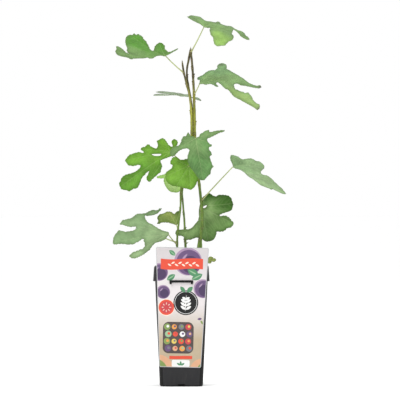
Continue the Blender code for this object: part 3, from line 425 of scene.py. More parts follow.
# Outlines of the blades that face the front, as seen from there: by turns how many steps
# of VIEW_STEP each point is right of the corner VIEW_CORNER and below it
VIEW_STEP = 0.00203
VIEW_CORNER = (181.5, 385.3)
RIMS = {
    "top_right": (
        204.6, 27.4, 201.5, 25.8, 196.5, 23.4, 191.5, 20.6, 188.4, 18.8, 187.1, 17.2, 189, 17,
        190.6, 15.8, 195, 16.8, 200, 18, 203, 20.3, 206, 21.8, 210, 21.9, 214, 22.8, 218.5, 22.4,
        221.5, 24.8, 226, 26.4, 231, 27.3, 234.6, 29.8, 237.5, 31, 241, 32, 244, 33.9, 245.6, 36.4,
        247.8, 38, 248.8, 40.1, 246, 40.2, 243, 38.6, 240, 35.8, 236.5, 32.2, 233.2, 30.4, 232.4,
        32.2, 231.6, 34.6, 232.9, 36.6, 232.8, 39, 231.4, 41.2, 228.6, 42.4, 226.4, 44.4, 224.6,
        46.4, 221, 46.4, 217, 46.8, 214.8, 45, 213.4, 41.6, 212.8, 38, 210.9, 36, 210, 33.2, 209.5,
        30.6, 210.2, 28, 207, 27.8),
    "top_left": (
        166.4, 56.2, 163, 56.1, 159, 56.1, 156, 56.7, 154, 58, 151, 58.9, 148, 58.2, 143, 58.5, 138,
        58.6, 134, 58.9, 131.5, 59.9, 128.5, 58.9, 124, 58.1, 120, 57, 117.5, 55.9, 115.8, 54,
        115.2, 51.4, 116.4, 49.6, 116.1, 47, 118, 46.8, 121, 48.3, 123, 50.3, 125.4, 52.2, 128, 54,
        129.4, 54.2, 128, 52.9, 127, 51.2, 127.2, 49, 126, 46, 125.4, 42, 125.9, 39, 127.2, 37, 130,
        35.6, 132.5, 35.4, 134, 33.9, 136, 35.6, 138, 34.8, 140, 36, 142.6, 37.8, 143.6, 40, 145.6,
        41.6, 147, 44, 149, 47, 150.6, 50, 152.5, 51, 154, 50.4, 154.8, 47.6, 156.5, 45, 159.2,
        43.1, 161.6, 43.4, 163.6, 45, 164.9, 47, 164.6, 49.6, 166.5, 51.1, 168.4, 52.7, 171, 52.2,
        174.2, 50.6, 177, 49, 178.4, 48.8, 177.6, 50.4, 174, 52.6, 170, 54.4),
    "upper_right": (
        199.2, 84.5, 203, 84.4, 206, 85.4, 210, 84.2, 213, 85.2, 216.4, 87.2, 218.2, 87, 217.4,
        85.4, 215.9, 84, 217.4, 82.8, 220, 84.2, 222.5, 86.5, 225, 89, 228, 90.6, 231.4, 94, 234,
        96.5, 237.5, 98.5, 242, 101, 246.5, 103.6, 251, 106, 255, 108.7, 257.5, 110.6, 259, 109.2,
        259.7, 107, 258.8, 104.8, 256.8, 104.2, 255, 102.6, 253, 100.4, 251.9, 97.5, 249.6, 95.2,
        248.4, 93.5, 245, 93.8, 243, 92.7, 240, 92.1, 237.5, 90.9, 235.3, 90.4, 234, 87, 234.3,
        84.5, 237, 84, 241, 85.6, 245, 86, 250, 87, 255, 88.2, 259, 88.8, 261.2, 87.5, 259.6, 86,
        256, 86.2, 252.5, 85, 249, 83.3, 246, 81, 243.5, 79.2, 240, 77.5, 236, 75.4, 232, 73, 229,
        71, 226.8, 70, 226.7, 67, 226, 65, 223, 63.9, 219.5, 64.2, 217.3, 66, 217, 68.4, 215.4, 70,
        212, 70.6, 208.5, 71.5, 205.5, 73.4, 202.5, 75.9, 200, 76.9, 197.8, 78, 197.2, 79.6, 199.3,
        80.4, 199.5, 82.2),
    "middle_left": (
        171.4, 156, 168, 157.9, 163.6, 159.4, 160.8, 160.6, 160.6, 163, 161.9, 165.6, 161, 169,
        160.4, 172.4, 157.6, 174.8, 154.6, 177.4, 151.8, 179.8, 150, 181.9, 147.8, 181.2, 146.4,
        179, 147, 176.4, 148.4, 173.6, 148.9, 171.6, 147, 172.4, 144.6, 175.3, 142.4, 177.4, 140.8,
        180.6, 139, 185, 137, 188.4, 133, 189.4, 129.4, 191.6, 125.4, 190.4, 121.6, 189.6, 120,
        186.6, 119.1, 184, 120.5, 181, 121.5, 178, 125, 175.3, 130, 173.9, 134.5, 172, 138, 169.5,
        140.1, 167, 140.4, 165.7, 138, 165.2, 134.2, 166.2, 131, 166.2, 128, 165.3, 126.4, 163,
        124.9, 160.7, 126.2, 158.5, 128, 156.4, 130, 154.9, 133, 154.2, 136, 152.9, 139.4, 152.4,
        142, 153.2, 144, 152.9, 142.8, 151.4, 141, 149.6, 142, 147.6, 145, 147.1, 146.5, 145.6,
        148.3, 144.8, 150.5, 146.6, 153.5, 148, 156.4, 148.2, 157.5, 146, 157, 143, 156.6, 141,
        159.5, 139.9, 162, 138.3, 164.6, 139.4, 167, 142.4, 168.5, 145, 170.5, 146.6, 172.8, 147,
        172.4, 144.6, 171.8, 141.6, 173.2, 139.7, 175.6, 139.7, 177.5, 142, 177.2, 144.8, 175.8,
        147.4, 175, 151, 173.6, 154),
    "middle_centre": (
        192, 160.4, 187.5, 159.8, 183, 159.8, 179.6, 159.8, 176.6, 157.7, 173.2, 157.6, 171.4, 160,
        170.2, 163.4, 172.5, 165.8, 171.8, 168.2, 169.4, 170.2, 166, 172.3, 165.4, 175, 164.9, 178,
        165.6, 180.6, 168, 183.6, 171.6, 185.4, 175.6, 186.4, 179.6, 186.9, 183, 188.4, 187, 189,
        190.6, 189.9, 193, 188.8, 195.2, 186.4, 197, 182.6, 198.6, 178.6, 200, 174, 199.4, 168.4,
        196.4, 163.4),
    "middle_front": (
        195.7, 138, 194, 136.7, 190.6, 136, 189.4, 133.4, 188, 132.2, 186.8, 134, 186, 136, 183.6,
        136.6, 182, 139.2, 181, 142.6, 178.8, 145.6, 174.6, 146.9, 171.8, 149.2, 170.3, 152, 170.6,
        155.4, 172.6, 157, 175.4, 155, 178.6, 151.6, 181.6, 149.8, 184.6, 149, 188, 149.1, 189.2,
        150.6, 188.4, 153.4, 187.6, 156.8, 187.8, 160.4, 188.8, 164.6, 190.8, 168.4, 193.2, 171.4,
        195.6, 174.4, 197.2, 177, 199.2, 179.4, 201.6, 180.7, 204.5, 180.3, 206.5, 178, 208.6,
        175.8, 210.4, 174.4, 211.4, 171, 212.8, 167, 212.5, 164, 211.3, 161, 210.4, 158.6, 210.4,
        156.6, 212.1, 155.3, 211.9, 153.4, 210.8, 151.4, 209.2, 149.2, 209.4, 147.8, 211.9, 146.2,
        211.9, 144.8, 210, 144.1, 208, 142, 206.9, 139.8, 208.5, 138.3, 212, 136.8, 216, 134.9, 220,
        132.9, 224, 131.7, 224.6, 130.4, 220, 130.3, 215, 131, 211, 132.1, 209.6, 131.9, 208.8,
        130.2, 206.5, 130.9, 203, 133, 200.3, 135, 199, 136.8, 197.2, 137.4),
    "right": (
        233, 167, 232.4, 164.6, 231, 162.6, 230.1, 160, 230.4, 157, 232.5, 155.3, 235, 156.2, 238,
        157.5, 240, 159.2, 242, 160, 245, 159.5, 248.5, 158.9, 251.5, 159.4, 253.5, 160.6, 255.6,
        162, 258, 162.1, 260, 162.8, 262.2, 164.3, 263.8, 166.5, 263.8, 169, 262.2, 170.8, 260.7,
        172.3, 261.2, 173.9, 263.5, 175.3, 266.5, 176.2, 269, 178, 271.5, 179.8, 274, 182, 276.5,
        184, 279, 186.3, 281.3, 188.5, 283, 191, 285.5, 193.8, 284.4, 194.9, 281.5, 194.6, 278,
        193.1, 275, 191.7, 272.6, 190.2, 270.5, 190.4, 268.5, 189, 265.5, 187.9, 262.6, 186.2, 260,
        185.1, 257, 183.3, 254.5, 181.8, 252, 180, 249, 178.3, 246.5, 176.3, 244.5, 174.3, 242,
        172.3, 239.5, 170.6, 237, 169.4, 234.8, 168.4),
    "lower_right": (
        199.4, 206.8, 200.6, 203, 202, 199, 204.4, 196.4, 206.4, 194.6, 208.5, 193.2, 211, 194,
        213.5, 195.8, 216, 196.3, 219, 195.1, 222, 194.9, 226, 195.2, 229.4, 196.4, 231.4, 199,
        232.4, 202, 233.3, 204.5, 232.7, 207, 232.3, 209.2, 230, 211.2, 226.5, 212.5, 223, 213.5,
        220.6, 214.6, 219.4, 215.5, 221.6, 216.2, 224.5, 215.7, 227.5, 216.8, 230, 218.8, 231.5,
        220.8, 233.6, 222.6, 233.2, 225, 231.5, 227.3, 229, 228, 227, 228.3, 225, 230.3, 222, 231.6,
        218.6, 231.9, 216.8, 232.2, 216.9, 234, 216, 236.4, 215, 238.6, 213, 240.5, 210, 241.5, 207,
        241.8, 204, 241, 202.2, 239.2, 199.6, 238.2, 196.6, 237.9, 194.4, 238.4, 191.5, 239.6, 188,
        240, 185.6, 239.7, 184.4, 237.6, 182.4, 236.1, 179.5, 235.7, 177, 236, 175.6, 234, 175.8,
        231.2, 177.8, 229.8, 181, 229.8, 185, 229.2, 189, 228.9, 192, 227.2, 194.4, 224.6, 196.4,
        222.4, 198, 220.6, 198.8, 216.6, 198.7, 211.6),
    "lower_left": (
        168.9, 234.6, 168.4, 232.4, 165, 231.5, 161, 230.2, 157.5, 228.4, 154, 226, 151, 224, 148.2,
        222.8, 146.5, 220.5, 145.1, 218, 144.9, 216.2, 148, 216, 152, 215.7, 156, 214.5, 158.5,
        212.7, 160, 211, 161.4, 208.9, 159.5, 208.8, 157.3, 210.3, 153.5, 210.2, 149.5, 211.4,
        145.5, 213.5, 141, 214.1, 137, 214.4, 134.5, 216, 131.5, 218.4, 128, 219.3, 124.5, 220.4,
        122, 221.2, 120.7, 223, 120, 224.4, 122.5, 224.9, 126, 226.1, 130, 227, 133, 226.8, 135.4,
        226.6, 136, 228.3, 134.8, 230, 132.5, 230.9, 129, 231.6, 125, 232.1, 121.5, 231.5, 119.5,
        230.8, 117.5, 232.3, 115.5, 234.4, 113.5, 237, 112.9, 240, 113, 244, 114.6, 244.8, 119,
        244.3, 124, 244.5, 129, 244.9, 134, 244.5, 136, 243, 138.5, 242, 140.5, 240.2, 142.3, 239,
        143.9, 239.3, 144, 241.5, 145, 244, 144.8, 247, 143.3, 248.8, 140, 250, 136, 251.4, 132.5,
        252.7, 130.5, 254.4, 129.4, 256.5, 131, 257.8, 133.5, 258.6, 137.5, 257.6, 141, 256, 144,
        254.4, 146.5, 252.3, 149.4, 250.3, 151, 248, 153, 245.5, 155.5, 243.5, 158.5, 242.5, 162,
        241.2, 165, 239.5, 166.6, 237.5),
    "lower_back": (
        176.6, 225.4, 174.6, 224.7, 171, 223.4, 168, 222.7, 164, 222.7, 161.4, 223, 159.4, 224.4,
        157.2, 223.8, 158.5, 221, 157.4, 218.6, 158.7, 216, 160.5, 214.5, 163.5, 213.9, 165.8,
        212.4, 168, 211.6, 171, 211.9, 173.2, 213.4, 174.6, 214.4, 176.2, 212.3, 178.6, 211.2,
        180.4, 212.2, 180.4, 216, 179, 220.6, 178.2, 223.6),
    "middle_back": (
        188.4, 178, 186, 184, 183, 188, 180.8, 190.6, 178.5, 192.3, 175, 193.1, 171, 192.4, 168,
        190, 165.5, 186, 163.9, 181.5, 163.7, 179, 160.5, 178.9, 157.2, 178.2, 156.7, 177.2, 160,
        175.8, 164.6, 174.8, 168, 172.6, 170.4, 169.6, 173, 167.5, 176.5, 166.6, 180, 168, 183,
        170.5, 187, 169.5, 192, 169, 196, 170.5, 195.5, 173, 192, 175, 189.6, 176.4),
}

# Openings in a blade, drawn like its rim
OPENINGS = {
    "middle_left": (
        151.8, 154.5, 154.5, 154.1, 158, 154, 161.2, 154.4, 160.2, 155.7, 157, 156.1, 154, 155.8),
    "lower_right": (
        202.7, 207.4, 204.4, 206.1, 206.8, 205.4, 206.2, 207, 204, 208.1),
}

# Each leaf's green in painted shade and its green in painted sunlight, and from 0 to 1 how
# much painted sunlight each lobe and then its middle gets
LOOKS = {
    "top_right": ((0.110, 0.195, 0.064), (0.190, 0.330, 0.065), (0.0, 0.0, 0.9, 0.0, 0.0, 0.1)),
    "top_left": ((0.100, 0.180, 0.054), (0.058, 0.185, 0.016), (0.0, 0.1, 0.1, 1.0, 1.0, 0.4)),
    "upper_right": ((0.128, 0.236, 0.096), (0.235, 0.335, 0.098), (0.0, 0.75, 0.25, 0.0, 0.1, 0.3)),
    "upper_back": ((0.190, 0.250, 0.160), (0.270, 0.340, 0.230), (0.0, 0.6, 0.3, 0.3, 0.0, 0.3)),
    "middle_left": ((0.080, 0.218, 0.022), (0.145, 0.318, 0.028),
                    (1.0, 1.0, 0.6, 0.6, 0.2, 0.2, 0.7)),
    "middle_centre": ((0.105, 0.255, 0.028), (0.140, 0.300, 0.032), (0.8, 0.9, 0.6, 0.9, 0.4, 0.9)),
    "middle_front": ((0.090, 0.200, 0.060), (0.215, 0.320, 0.130), (0.6, 0.4, 0.0, 0.0, 0.6, 0.4)),
    "right": ((0.135, 0.235, 0.095), (0.270, 0.380, 0.190), (0.0, 0.3, 0.5, 0.6, 0.3, 0.1)),
    "lower_right": ((0.034, 0.112, 0.010), (0.255, 0.395, 0.150), (0.8, 0.35, 0.4, 0.05, 0.0, 1.0)),
    "lower_left": ((0.140, 0.240, 0.105), (0.290, 0.405, 0.205), (0.7, 0.25, 0.4, 0.3, 0.65)),
    "lower_back": ((0.058, 0.135, 0.022), (0.370, 0.420, 0.120), (0.1, 0.7, 0.3, 0.1, 0.3)),
    "middle_back": ((0.270, 0.540, 0.085), (0.480, 0.640, 0.270), (0.5, 0.8, 0.4, 0.1, 0.0, 0.3)),
    "middle_rear": ((0.105, 0.215, 0.055), (0.150, 0.270, 0.070), (0.2, 0.4, 0.3, 0.3, 0.2, 0.5)),
    "lower_rear": ((0.110, 0.205, 0.070), (0.180, 0.290, 0.120), (0.2, 0.3, 0.2, 0.2, 0.1, 0.5)),
    "foot": ((0.175, 0.215, 0.045), (0.240, 0.300, 0.090), (0.2, 0.4, 0.2, 0.3)),
}

# The lobes whose tips have dried, by leaf: number and share, and how far the dry part reaches
DRY_LOBES = {"upper_right": ((1, 0.8), (2, 1.0), (3, 0.7))}
DRY_REACH = 0.0055


class Shader:
    """A Principled material built up from short calls."""

    def __init__(self, name):
        self.material = bpy.data.materials.new(name)
        self.material.use_nodes = True
        self.nodes = self.material.node_tree.nodes
        self.links = self.material.node_tree.links
        self.surface = self.nodes["Principled BSDF"]
        self.place = self.nodes.new("ShaderNodeTexCoord").outputs["Object"]

    def feed(self, socket, value):
        """Links an output to the socket, or sets its number, vector or colour."""
        if isinstance(value, bpy.types.NodeSocket):
            self.links.new(value, socket)
        else:
            socket.default_value = (*value, 1.0) if socket.type == "RGBA" else value

    def node(self, kind, inputs, **settings):
        """A new node of a kind, with its settings made and its inputs fed."""
        made = self.nodes.new(f"ShaderNode{kind}")
        for key, value in settings.items():
            setattr(made, key, value)
        for key, value in inputs.items():
            self.feed(made.inputs[key], value)
        return made

    def fix(self, name, value):
        """A number or colour that is the same all over."""
        self.feed(self.surface.inputs[name], value)

    def read(self, name):
        """A number that the mesh holds for each of its points."""
        return self.node("Attribute", {}, attribute_name=name).outputs["Fac"]

    def stretched(self, scale):
        return self.node("Mapping", {"Vector": self.place, "Scale": scale}).outputs["Vector"]

    def noise(self, scale, detail=3.0, rough=0.5, place=None):
        fed = {"Vector": place or self.place, "Scale": scale, "Detail": detail, "Roughness": rough}
        return self.node("TexNoise", fed).outputs["Fac"]

    def cells(self, scale):
        """The distance to the nearest border between cells."""
        fed = {"Vector": self.place, "Scale": scale}
        return self.node("TexVoronoi", fed, feature="DISTANCE_TO_EDGE").outputs["Distance"]

    def span(self, value, low, high, to_low=0.0, to_high=1.0):
        """value taken from the span low..high to the span to_low..to_high."""
        names = ("Value", "From Min", "From Max", "To Min", "To Max")
        fed = dict(zip(names, (value, low, high, to_low, to_high)))
        return self.node("MapRange", fed).outputs["Result"]

    def times(self, a, b):
        return self.node("Math", {0: a, 1: b}, operation="MULTIPLY").outputs["Value"]

    def mix(self, share, a, b):
        """Colour a with share of colour b over it."""
        fed = dict(zip(MIX_INPUTS, (share, a, b)))
        return self.node("Mix", fed, data_type="RGBA").outputs[MIX_OUTPUT]

    def axis(self, letter):
        return self.node("SeparateXYZ", {"Vector": self.place}).outputs[letter]

    def colour(self, value):
        self.feed(self.surface.inputs["Base Color"], value)

    def roughness(self, value):
        self.feed(self.surface.inputs["Roughness"], value)

    def bump(self, height, distance, strength=1.0):
        """Relief finer than the mesh, laid over any relief set before."""
        made = self.node("Bump", {"Strength": strength, "Distance": distance, "Height": height})
        before = self.surface.inputs["Normal"]
        if before.is_linked:
            self.links.new(before.links[0].from_socket, made.inputs["Normal"])
        self.links.new(made.outputs["Normal"], before)


def darker(colour, share):
    return tuple(part * share for part in colour)


def bell(away, height, reach):
    """A hump of this height that falls off within about reach on either side."""
    return height * np.exp(-(away / reach) ** 2)


def unit(vectors):
    """The rows, each drawn to length 1."""
    return vectors / np.linalg.norm(vectors, axis=1)[:, None]


def shown(name, data):
    """A new object in the scene."""
    made = bpy.data.objects.new(name, data)
    bpy.context.scene.collection.objects.link(made)
    return made


def point_values(data, key, numbers):
    """Keeps one number for each point of a mesh under the name key."""
    layer = data.attributes.new(key, "FLOAT", "POINT")
    layer.data.foreach_set("value", np.asarray(numbers, np.float32))


def mesh_object(name, points, faces, materials, slots=None, smooth=True, **values):
    """An object from points and faces, with one number for each point under each name
    in values."""
    data = bpy.data.meshes.new(name)
    data.from_pydata([tuple(p) for p in points], [], [tuple(f) for f in faces])
    for finish in materials:
        data.materials.append(finish)
    if slots is not None:
        data.polygons.foreach_set("material_index", np.asarray(slots, np.int32))
    if smooth:
        data.polygons.foreach_set("use_smooth", np.ones(len(data.polygons), bool))
    for key, numbers in values.items():
        point_values(data, key, numbers)
    data.update()
    return shown(name, data)


def place(piece, slot, *nodes):
    """Every piece rides on the one body. slot is not used, and nodes are what it stands for."""
    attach(piece, "root")
    if nodes:
        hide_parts(*nodes)


def smooth_curve(points, step, closed=False):
    """Points along a centripetal Catmull-Rom curve, about step apart."""
    points = np.asarray(points, float)
    count = len(points)
    spans = count if closed else count - 1
    curve = []
    for i in range(spans):
        p1 = points[i]
        p2 = points[(i + 1) % count]
        p0 = points[i - 1] if closed or i else 2 * p1 - p2
        p3 = points[(i + 2) % count] if closed or i + 2 < count else 2 * p2 - p1
        d1, d2, d3 = (max(np.linalg.norm(b - a), TINY) ** 0.5
                      for a, b in ((p0, p1), (p1, p2), (p2, p3)))
        pull1 = d2 * ((p1 - p0) / d1 - (p2 - p0) / (d1 + d2) + (p2 - p1) / d2)
        pull2 = d2 * ((p2 - p1) / d2 - (p3 - p1) / (d2 + d3) + (p3 - p2) / d3)
        pieces = max(1, round(float(np.linalg.norm(p2 - p1)) / step))
        t = (np.arange(pieces) / pieces)[:, None]
        curve.append((2 * t**3 - 3 * t**2 + 1) * p1 + (t**3 - 2 * t**2 + t) * pull1
                     + (3 * t**2 - 2 * t**3) * p2 + (t**3 - t**2) * pull2)
    if not closed:
        curve.append(points[-1:])
    return np.vstack(curve)


def rounded_square(half, radius, steps):
    """Points of a square with round corners, anticlockwise seen from above."""
    points = []
    for corner in range(4):
        turn = corner * math.pi / 2
        for step in range(steps + 1):
            angle = step / steps * math.pi / 2
            x = half - radius + radius * math.cos(angle)
            y = half - radius + radius * math.sin(angle)
            points.append((x * math.cos(turn) - y * math.sin(turn),
                           x * math.sin(turn) + y * math.cos(turn)))
    return points


def ring_faces(rings, size):
    """Quads between rings of size points each, numbered one ring after another."""
    faces = []
    for ring in range(rings - 1):
        for i in range(size):
            j = (i + 1) % size
            low = ring * size
            faces.append((low + i, low + j, low + size + j, low + size + i))
    return faces


def closed_rings(rings, size):
    """ring_faces and a face over each end."""
    last = (rings - 1) * size
    ends = [tuple(reversed(range(size))), tuple(range(last, last + size))]
    return ring_faces(rings, size) + ends


def sheet_faces(faces, count):
    """Faces of a closed sheet: the top's, the bottom's, which has the same count of points
    after the top's, and a wall all round."""
    wall = [(b, a, count + a, count + b) for a, b in rim_loop(faces)]
    return [tuple(f) for f in faces] + [tuple(count + i for i in f[::-1]) for f in faces] + wall


def smooth_noise(point, length, seed):
    """Noise from -1 to 1 whose bumps are about length long."""
    return noise.noise(Vector(point) / length + Vector((seed, 2.7 * seed, 5.1 * seed)))


def wall_half(height):
    """Half width of the pot's outer wall at a height below the collar."""
    share = (height - POT_LOW_Z) / (COLLAR_Z - POT_LOW_Z)
    return POT_LOW_HALF + share * (POT_TOP_HALF - POT_LOW_HALF)


def cutter(name, low, high):
    mesh = bmesh.new()
    bmesh.ops.create_cube(mesh, size=1.0)
    bmesh.ops.scale(mesh, vec=Vector(high) - Vector(low), verts=mesh.verts)
    bmesh.ops.translate(mesh, vec=(Vector(high) + Vector(low)) / 2, verts=mesh.verts)
    data = bpy.data.meshes.new(name)
    mesh.to_mesh(data)
    mesh.free()
    return shown(name, data)


def applied(piece):
    """The piece with its modifiers made part of its mesh."""
    evaluated = piece.evaluated_get(bpy.context.evaluated_depsgraph_get())
    final = bpy.data.meshes.new_from_object(evaluated)
    piece.modifiers.clear()
    piece.data = final
    return piece


def pot_finish():
    """Satin black moulded plastic with a fine grain and pale dust near the foot, and near-black
    painted shade inside the pot and on the label's bar.
    """
    shader = Shader("pot_plastic")
    cloud = shader.noise(38.0, 5.0, 0.62)
    scuff = shader.noise(210.0, 4.0, 0.7, shader.stretched((1.0, 1.0, 0.18)))
    base = shader.mix(cloud, (0.016, 0.016, 0.0175), (0.022, 0.022, 0.0240))
    low = shader.span(shader.axis("Z"), 0.0, 0.05, 0.30, 0.0)
    dust = shader.times(shader.span(scuff, 0.48, 0.72), low)
    base = shader.mix(dust, base, (0.060, 0.054, 0.047))
    base = shader.mix(shader.span(scuff, 0.60, 0.80, 0.0, 0.25), base, (0.045, 0.046, 0.047))
    # Painted shade: near black inside the pot and on the bar, where little light gets in.
    shader.colour(shader.mix(shader.read("painted_hollow_shade"), base, (0.003, 0.003, 0.003)))
    shader.roughness(shader.span(cloud, 0.25, 0.75, 0.42, 0.56))
    shader.fix("Specular IOR Level", 0.2)
    shader.bump(shader.noise(1500.0, 2.0), 0.00012, 0.5)
    shader.bump(shader.noise(26.0, 2.0), 0.0009, 0.35)
    return shader.material


def pot_tools():
    """The bar and its lugs, which join the shell, and the drain slots, which cut it."""
    bar = cutter("bar", (-BAR_HALF, -BAR_FRONT, BAR_LOW), (BAR_HALF, -BAR_BACK, BAR_HIGH))
    tools = [("UNION", bar)]
    for side in (-1, 1):
        inner, outer = sorted((side * (BAR_HALF - LUG_WIDTH), side * BAR_HALF))
        lug = cutter("lug", (inner, -BAR_FRONT, LUG_LOW), (outer, -LUG_BACK, BAR_HIGH))
        tools.append(("UNION", lug))
    reach = wall_half(SLOT_Z) + SLOT_PROUD
    for number in range(4):
        slot = cutter("drain", (-SLOT_WIDTH / 2, -reach, SLOT_Z),
                      (SLOT_WIDTH / 2, -reach + SLOT_DEPTH, SLOT_Z + SLOT_HEIGHT))
        slot.rotation_euler.z = number * math.pi / 2
        tools.append(("DIFFERENCE", slot))
    return tools


def shaded(x, y, z):
    """Whether a place is inside the pot's wall or on the bar and its lugs, where near-black shade
    is painted.
    """
    inside_wall = max(abs(x), abs(y)) < wall_half(z) - POT_WALL / 2 and z < COLLAR_Z
    return inside_wall or y < -COLLAR_SKIRT_HALF - GAP


def make_pot():
    sections = [(0.0, POT_FOOT_HALF, FOOT_CORNER), (POT_LOW_Z, POT_LOW_HALF, CORNER_RADIUS)]
    for row in range(1, POT_ROWS):
        height = POT_LOW_Z + row / POT_ROWS * (COLLAR_Z - POT_LOW_Z)
        sections.append((height, wall_half(height), CORNER_RADIUS))
    sections += [
        (COLLAR_Z, POT_TOP_HALF, CORNER_RADIUS),
        (COLLAR_Z + COLLAR_LIP, COLLAR_SKIRT_HALF, SKIRT_CORNER),
        (COLLAR_Z + COLLAR_BAND, COLLAR_SKIRT_HALF - COLLAR_DRAFT, SKIRT_CORNER),
        (POT_HEIGHT - RIM_ROUND, COLLAR_RIM_HALF, UPPER_CORNER),
        (POT_HEIGHT, COLLAR_RIM_HALF - RIM_ROUND, RIM_CORNER),
        (POT_HEIGHT, COLLAR_RIM_HALF - 2 * POT_WALL, CORNER_RADIUS),
        (COLLAR_Z + COLLAR_BAND, POT_TOP_HALF - POT_WALL, CORNER_RADIUS - POT_WALL),
        (POT_FLOOR, wall_half(POT_FLOOR) - POT_WALL, CORNER_RADIUS - POT_WALL),
    ]
    points = []
    for height, half, radius in sections:
        points += [(x, y, height) for x, y in rounded_square(half, radius, POT_CORNER_STEPS)]
    faces = closed_rings(len(sections), 4 * (POT_CORNER_STEPS + 1))
    pot = mesh_object("pot_shell", points, faces, [pot_finish()])
    tools = pot_tools()
    for operation, tool in tools:
        step = pot.modifiers.new("shape", "BOOLEAN")
        step.operation = operation
        step.solver = "EXACT"
        step.object = tool
    edges = pot.modifiers.new("edges", "BEVEL")
    edges.width = POT_EDGE_ROUND
    edges.segments = 2
    edges.limit_method = "ANGLE"
    edges.angle_limit = POT_EDGE_ANGLE
    data = applied(pot).data
    for _, tool in tools:
        bpy.data.objects.remove(tool)
    data.polygons.foreach_set("use_smooth", np.ones(len(data.polygons), bool))
    data.set_sharp_from_angle(angle=SHARP_ANGLE)
    for vertex in data.vertices:
        x, y, z = vertex.co
        if POT_LOW_Z < z < COLLAR_Z and max(abs(x), abs(y)) > wall_half(z) - POT_WALL / 2:
            push = smooth_noise((x, y, z), POT_WAVE_LENGTH, POT_SEED) * POT_WAVE
            vertex.co.x += push * (x / POT_TOP_HALF)
            vertex.co.y += push * (y / POT_TOP_HALF)
    # Marks where the near-black painted shade goes: inside the wall and on the bar.
    point_values(data, "painted_hollow_shade", [shaded(*vertex.co) for vertex in data.vertices])
    place(pot, "pot", "pot")


def disc(x, y, radius, count=28):
    """A circle in the label's millimetres."""
    angles = np.arange(count) * math.tau / count
    return np.column_stack((x + radius * np.cos(angles), y + radius * np.sin(angles)))


def petal(x, y, length, width, angle):
    """A pointed leaf shape that starts at x, y and leans angle degrees from upright."""
    t = np.linspace(0.0, 1.0, 9)
    wide = width / 2 * np.sin(math.pi * t) ** 0.8
    side = np.concatenate((wide, -wide[-2:0:-1]))
    out = np.concatenate((t, t[-2:0:-1])) * length
    turn = math.radians(angle)
    return np.column_stack((x + side * math.cos(turn) + out * math.sin(turn),
                            y - side * math.sin(turn) + out * math.cos(turn)))


def band(left, right, middle, height, wave=0.0, length=30.0):
    """A level strip whose edges rise and fall together."""
    x = np.linspace(left, right, max(3, int((right - left) / 3)))
    y = middle + wave * np.sin(x / length * math.tau)
    return np.vstack((np.column_stack((x, y - height / 2)),
                      np.column_stack((x, y + height / 2))[::-1]))


def panel(x, y, half_x, half_y, corner):
    """A rectangle with round corners."""
    angles = (np.arange(24) + 0.5) * math.tau / 24
    ways = np.column_stack((np.cos(angles), np.sin(angles)))
    inner = np.array((half_x - corner, half_y - corner))
    return np.array((x, y)) + np.sign(ways) * inner + ways * corner


def label_art():
    """The print's shapes, each an ink and its outline, the lowest first, in millimetres
    from the middle of the card's bottom edge."""
    art = [
        ("peach", disc(-44, -6, 31, 40)), ("olive", disc(-52, -10, 27, 36)),
        ("peach", disc(46, -8, 27, 40)), ("olive", disc(54, -10, 22, 36)),
    ]
    for x, y, r in ((12, 214, 28), (-46, 192, 18), (43, 160, 19), (-37, 152, 14)):
        art += [("lilac", disc(x, y, r, 44)),
                ("plum", disc(x + 0.05 * r, y - 0.05 * r, 0.90 * r, 40)),
                ("plum_dark", disc(x + 0.16 * r, y - 0.20 * r, 0.62 * r, 32)),
                ("lilac", petal(x - 0.45 * r, y + 0.10 * r, 0.6 * r, 0.16 * r, 40))]
    for x, y, length, angle in ((34, 186, 26, -62), (20, 178, 24, 62),
                                (-30, 176, 20, 55), (-14, 226, 16, -50)):
        art += [("green", petal(x, y, length, 0.55 * length, angle)),
                ("pale_green", petal(x, y, 0.92 * length, 0.10 * length, angle))]
    art.append(("coral", band(-43, 42, 209, 21, 1.6, 90)))
    for k in range(9):
        art.append(("cream", petal(-29 + 7 * k, 209, 8.5, 3.4, 60 if k % 2 else 120)))
    art += [("cream", disc(-30, 121, 17, 36)), ("coral", disc(-30, 121, 15.6, 36)),
            ("red", disc(-30, 121, 12, 30))]
    for k in range(8):
        turn = k * math.tau / 8
        x, y = -30 + 5 * math.sin(turn), 121 + 5 * math.cos(turn)
        art.append(("cream", petal(x, y, 5, 1.4, k * 45)))
    art += [("charcoal", disc(9, 131, 25, 48)), ("white", disc(9, 131, 22.6, 44)),
            ("charcoal", disc(9, 131, 21.8, 44)), ("white", petal(8, 113, 34, 2.2, 3))]
    for y, length in ((117, 13), (124, 13), (131, 12), (137, 9)):
        art += [("white", petal(9, y, length, 5.4, 56)), ("white", petal(9, y, length, 5.4, -54))]
    art += [("green", petal(11, 152, 16, 9, 44)), ("green", petal(7, 152, 15, 8, -40)),
            ("olive", petal(44, 88, 9, 4, -30)), ("plum", petal(33, 98, 9, 5, 80)),
            ("board", panel(-5, 60, 31, 32, 12))]
    bowls = ("olive", "orange", "slate", "red", "pale_green", "coral", "white", "plum",
             "olive", "yellow", "coral", "red", "plum", "peach", "orange", "slate")
    for k, name in enumerate(bowls):
        x = -5 + (k % 4 - 1.5) * 14.2 + (1.2 if k // 4 % 2 else -1.2)
        y = 60 + (1.5 - k // 4) * 14.6
        size = 6.6 - 0.5 * (k * 7 % 4)
        spare = bowls[(k + 6) % 16]
        art += [(name, disc(x, y, size, 20)), (spare, disc(x + 1.2, y + 1.0, 0.42 * size, 12))]
    art += [("coral", band(-22, 24, 20.0, 6.5, 0.4, 60)), ("white", panel(1, 8, 18, 7, 3))]
    for angle in (-60, 0, 60):
        art.append(("green", petal(1, 4, 9, 4, angle)))
    return art


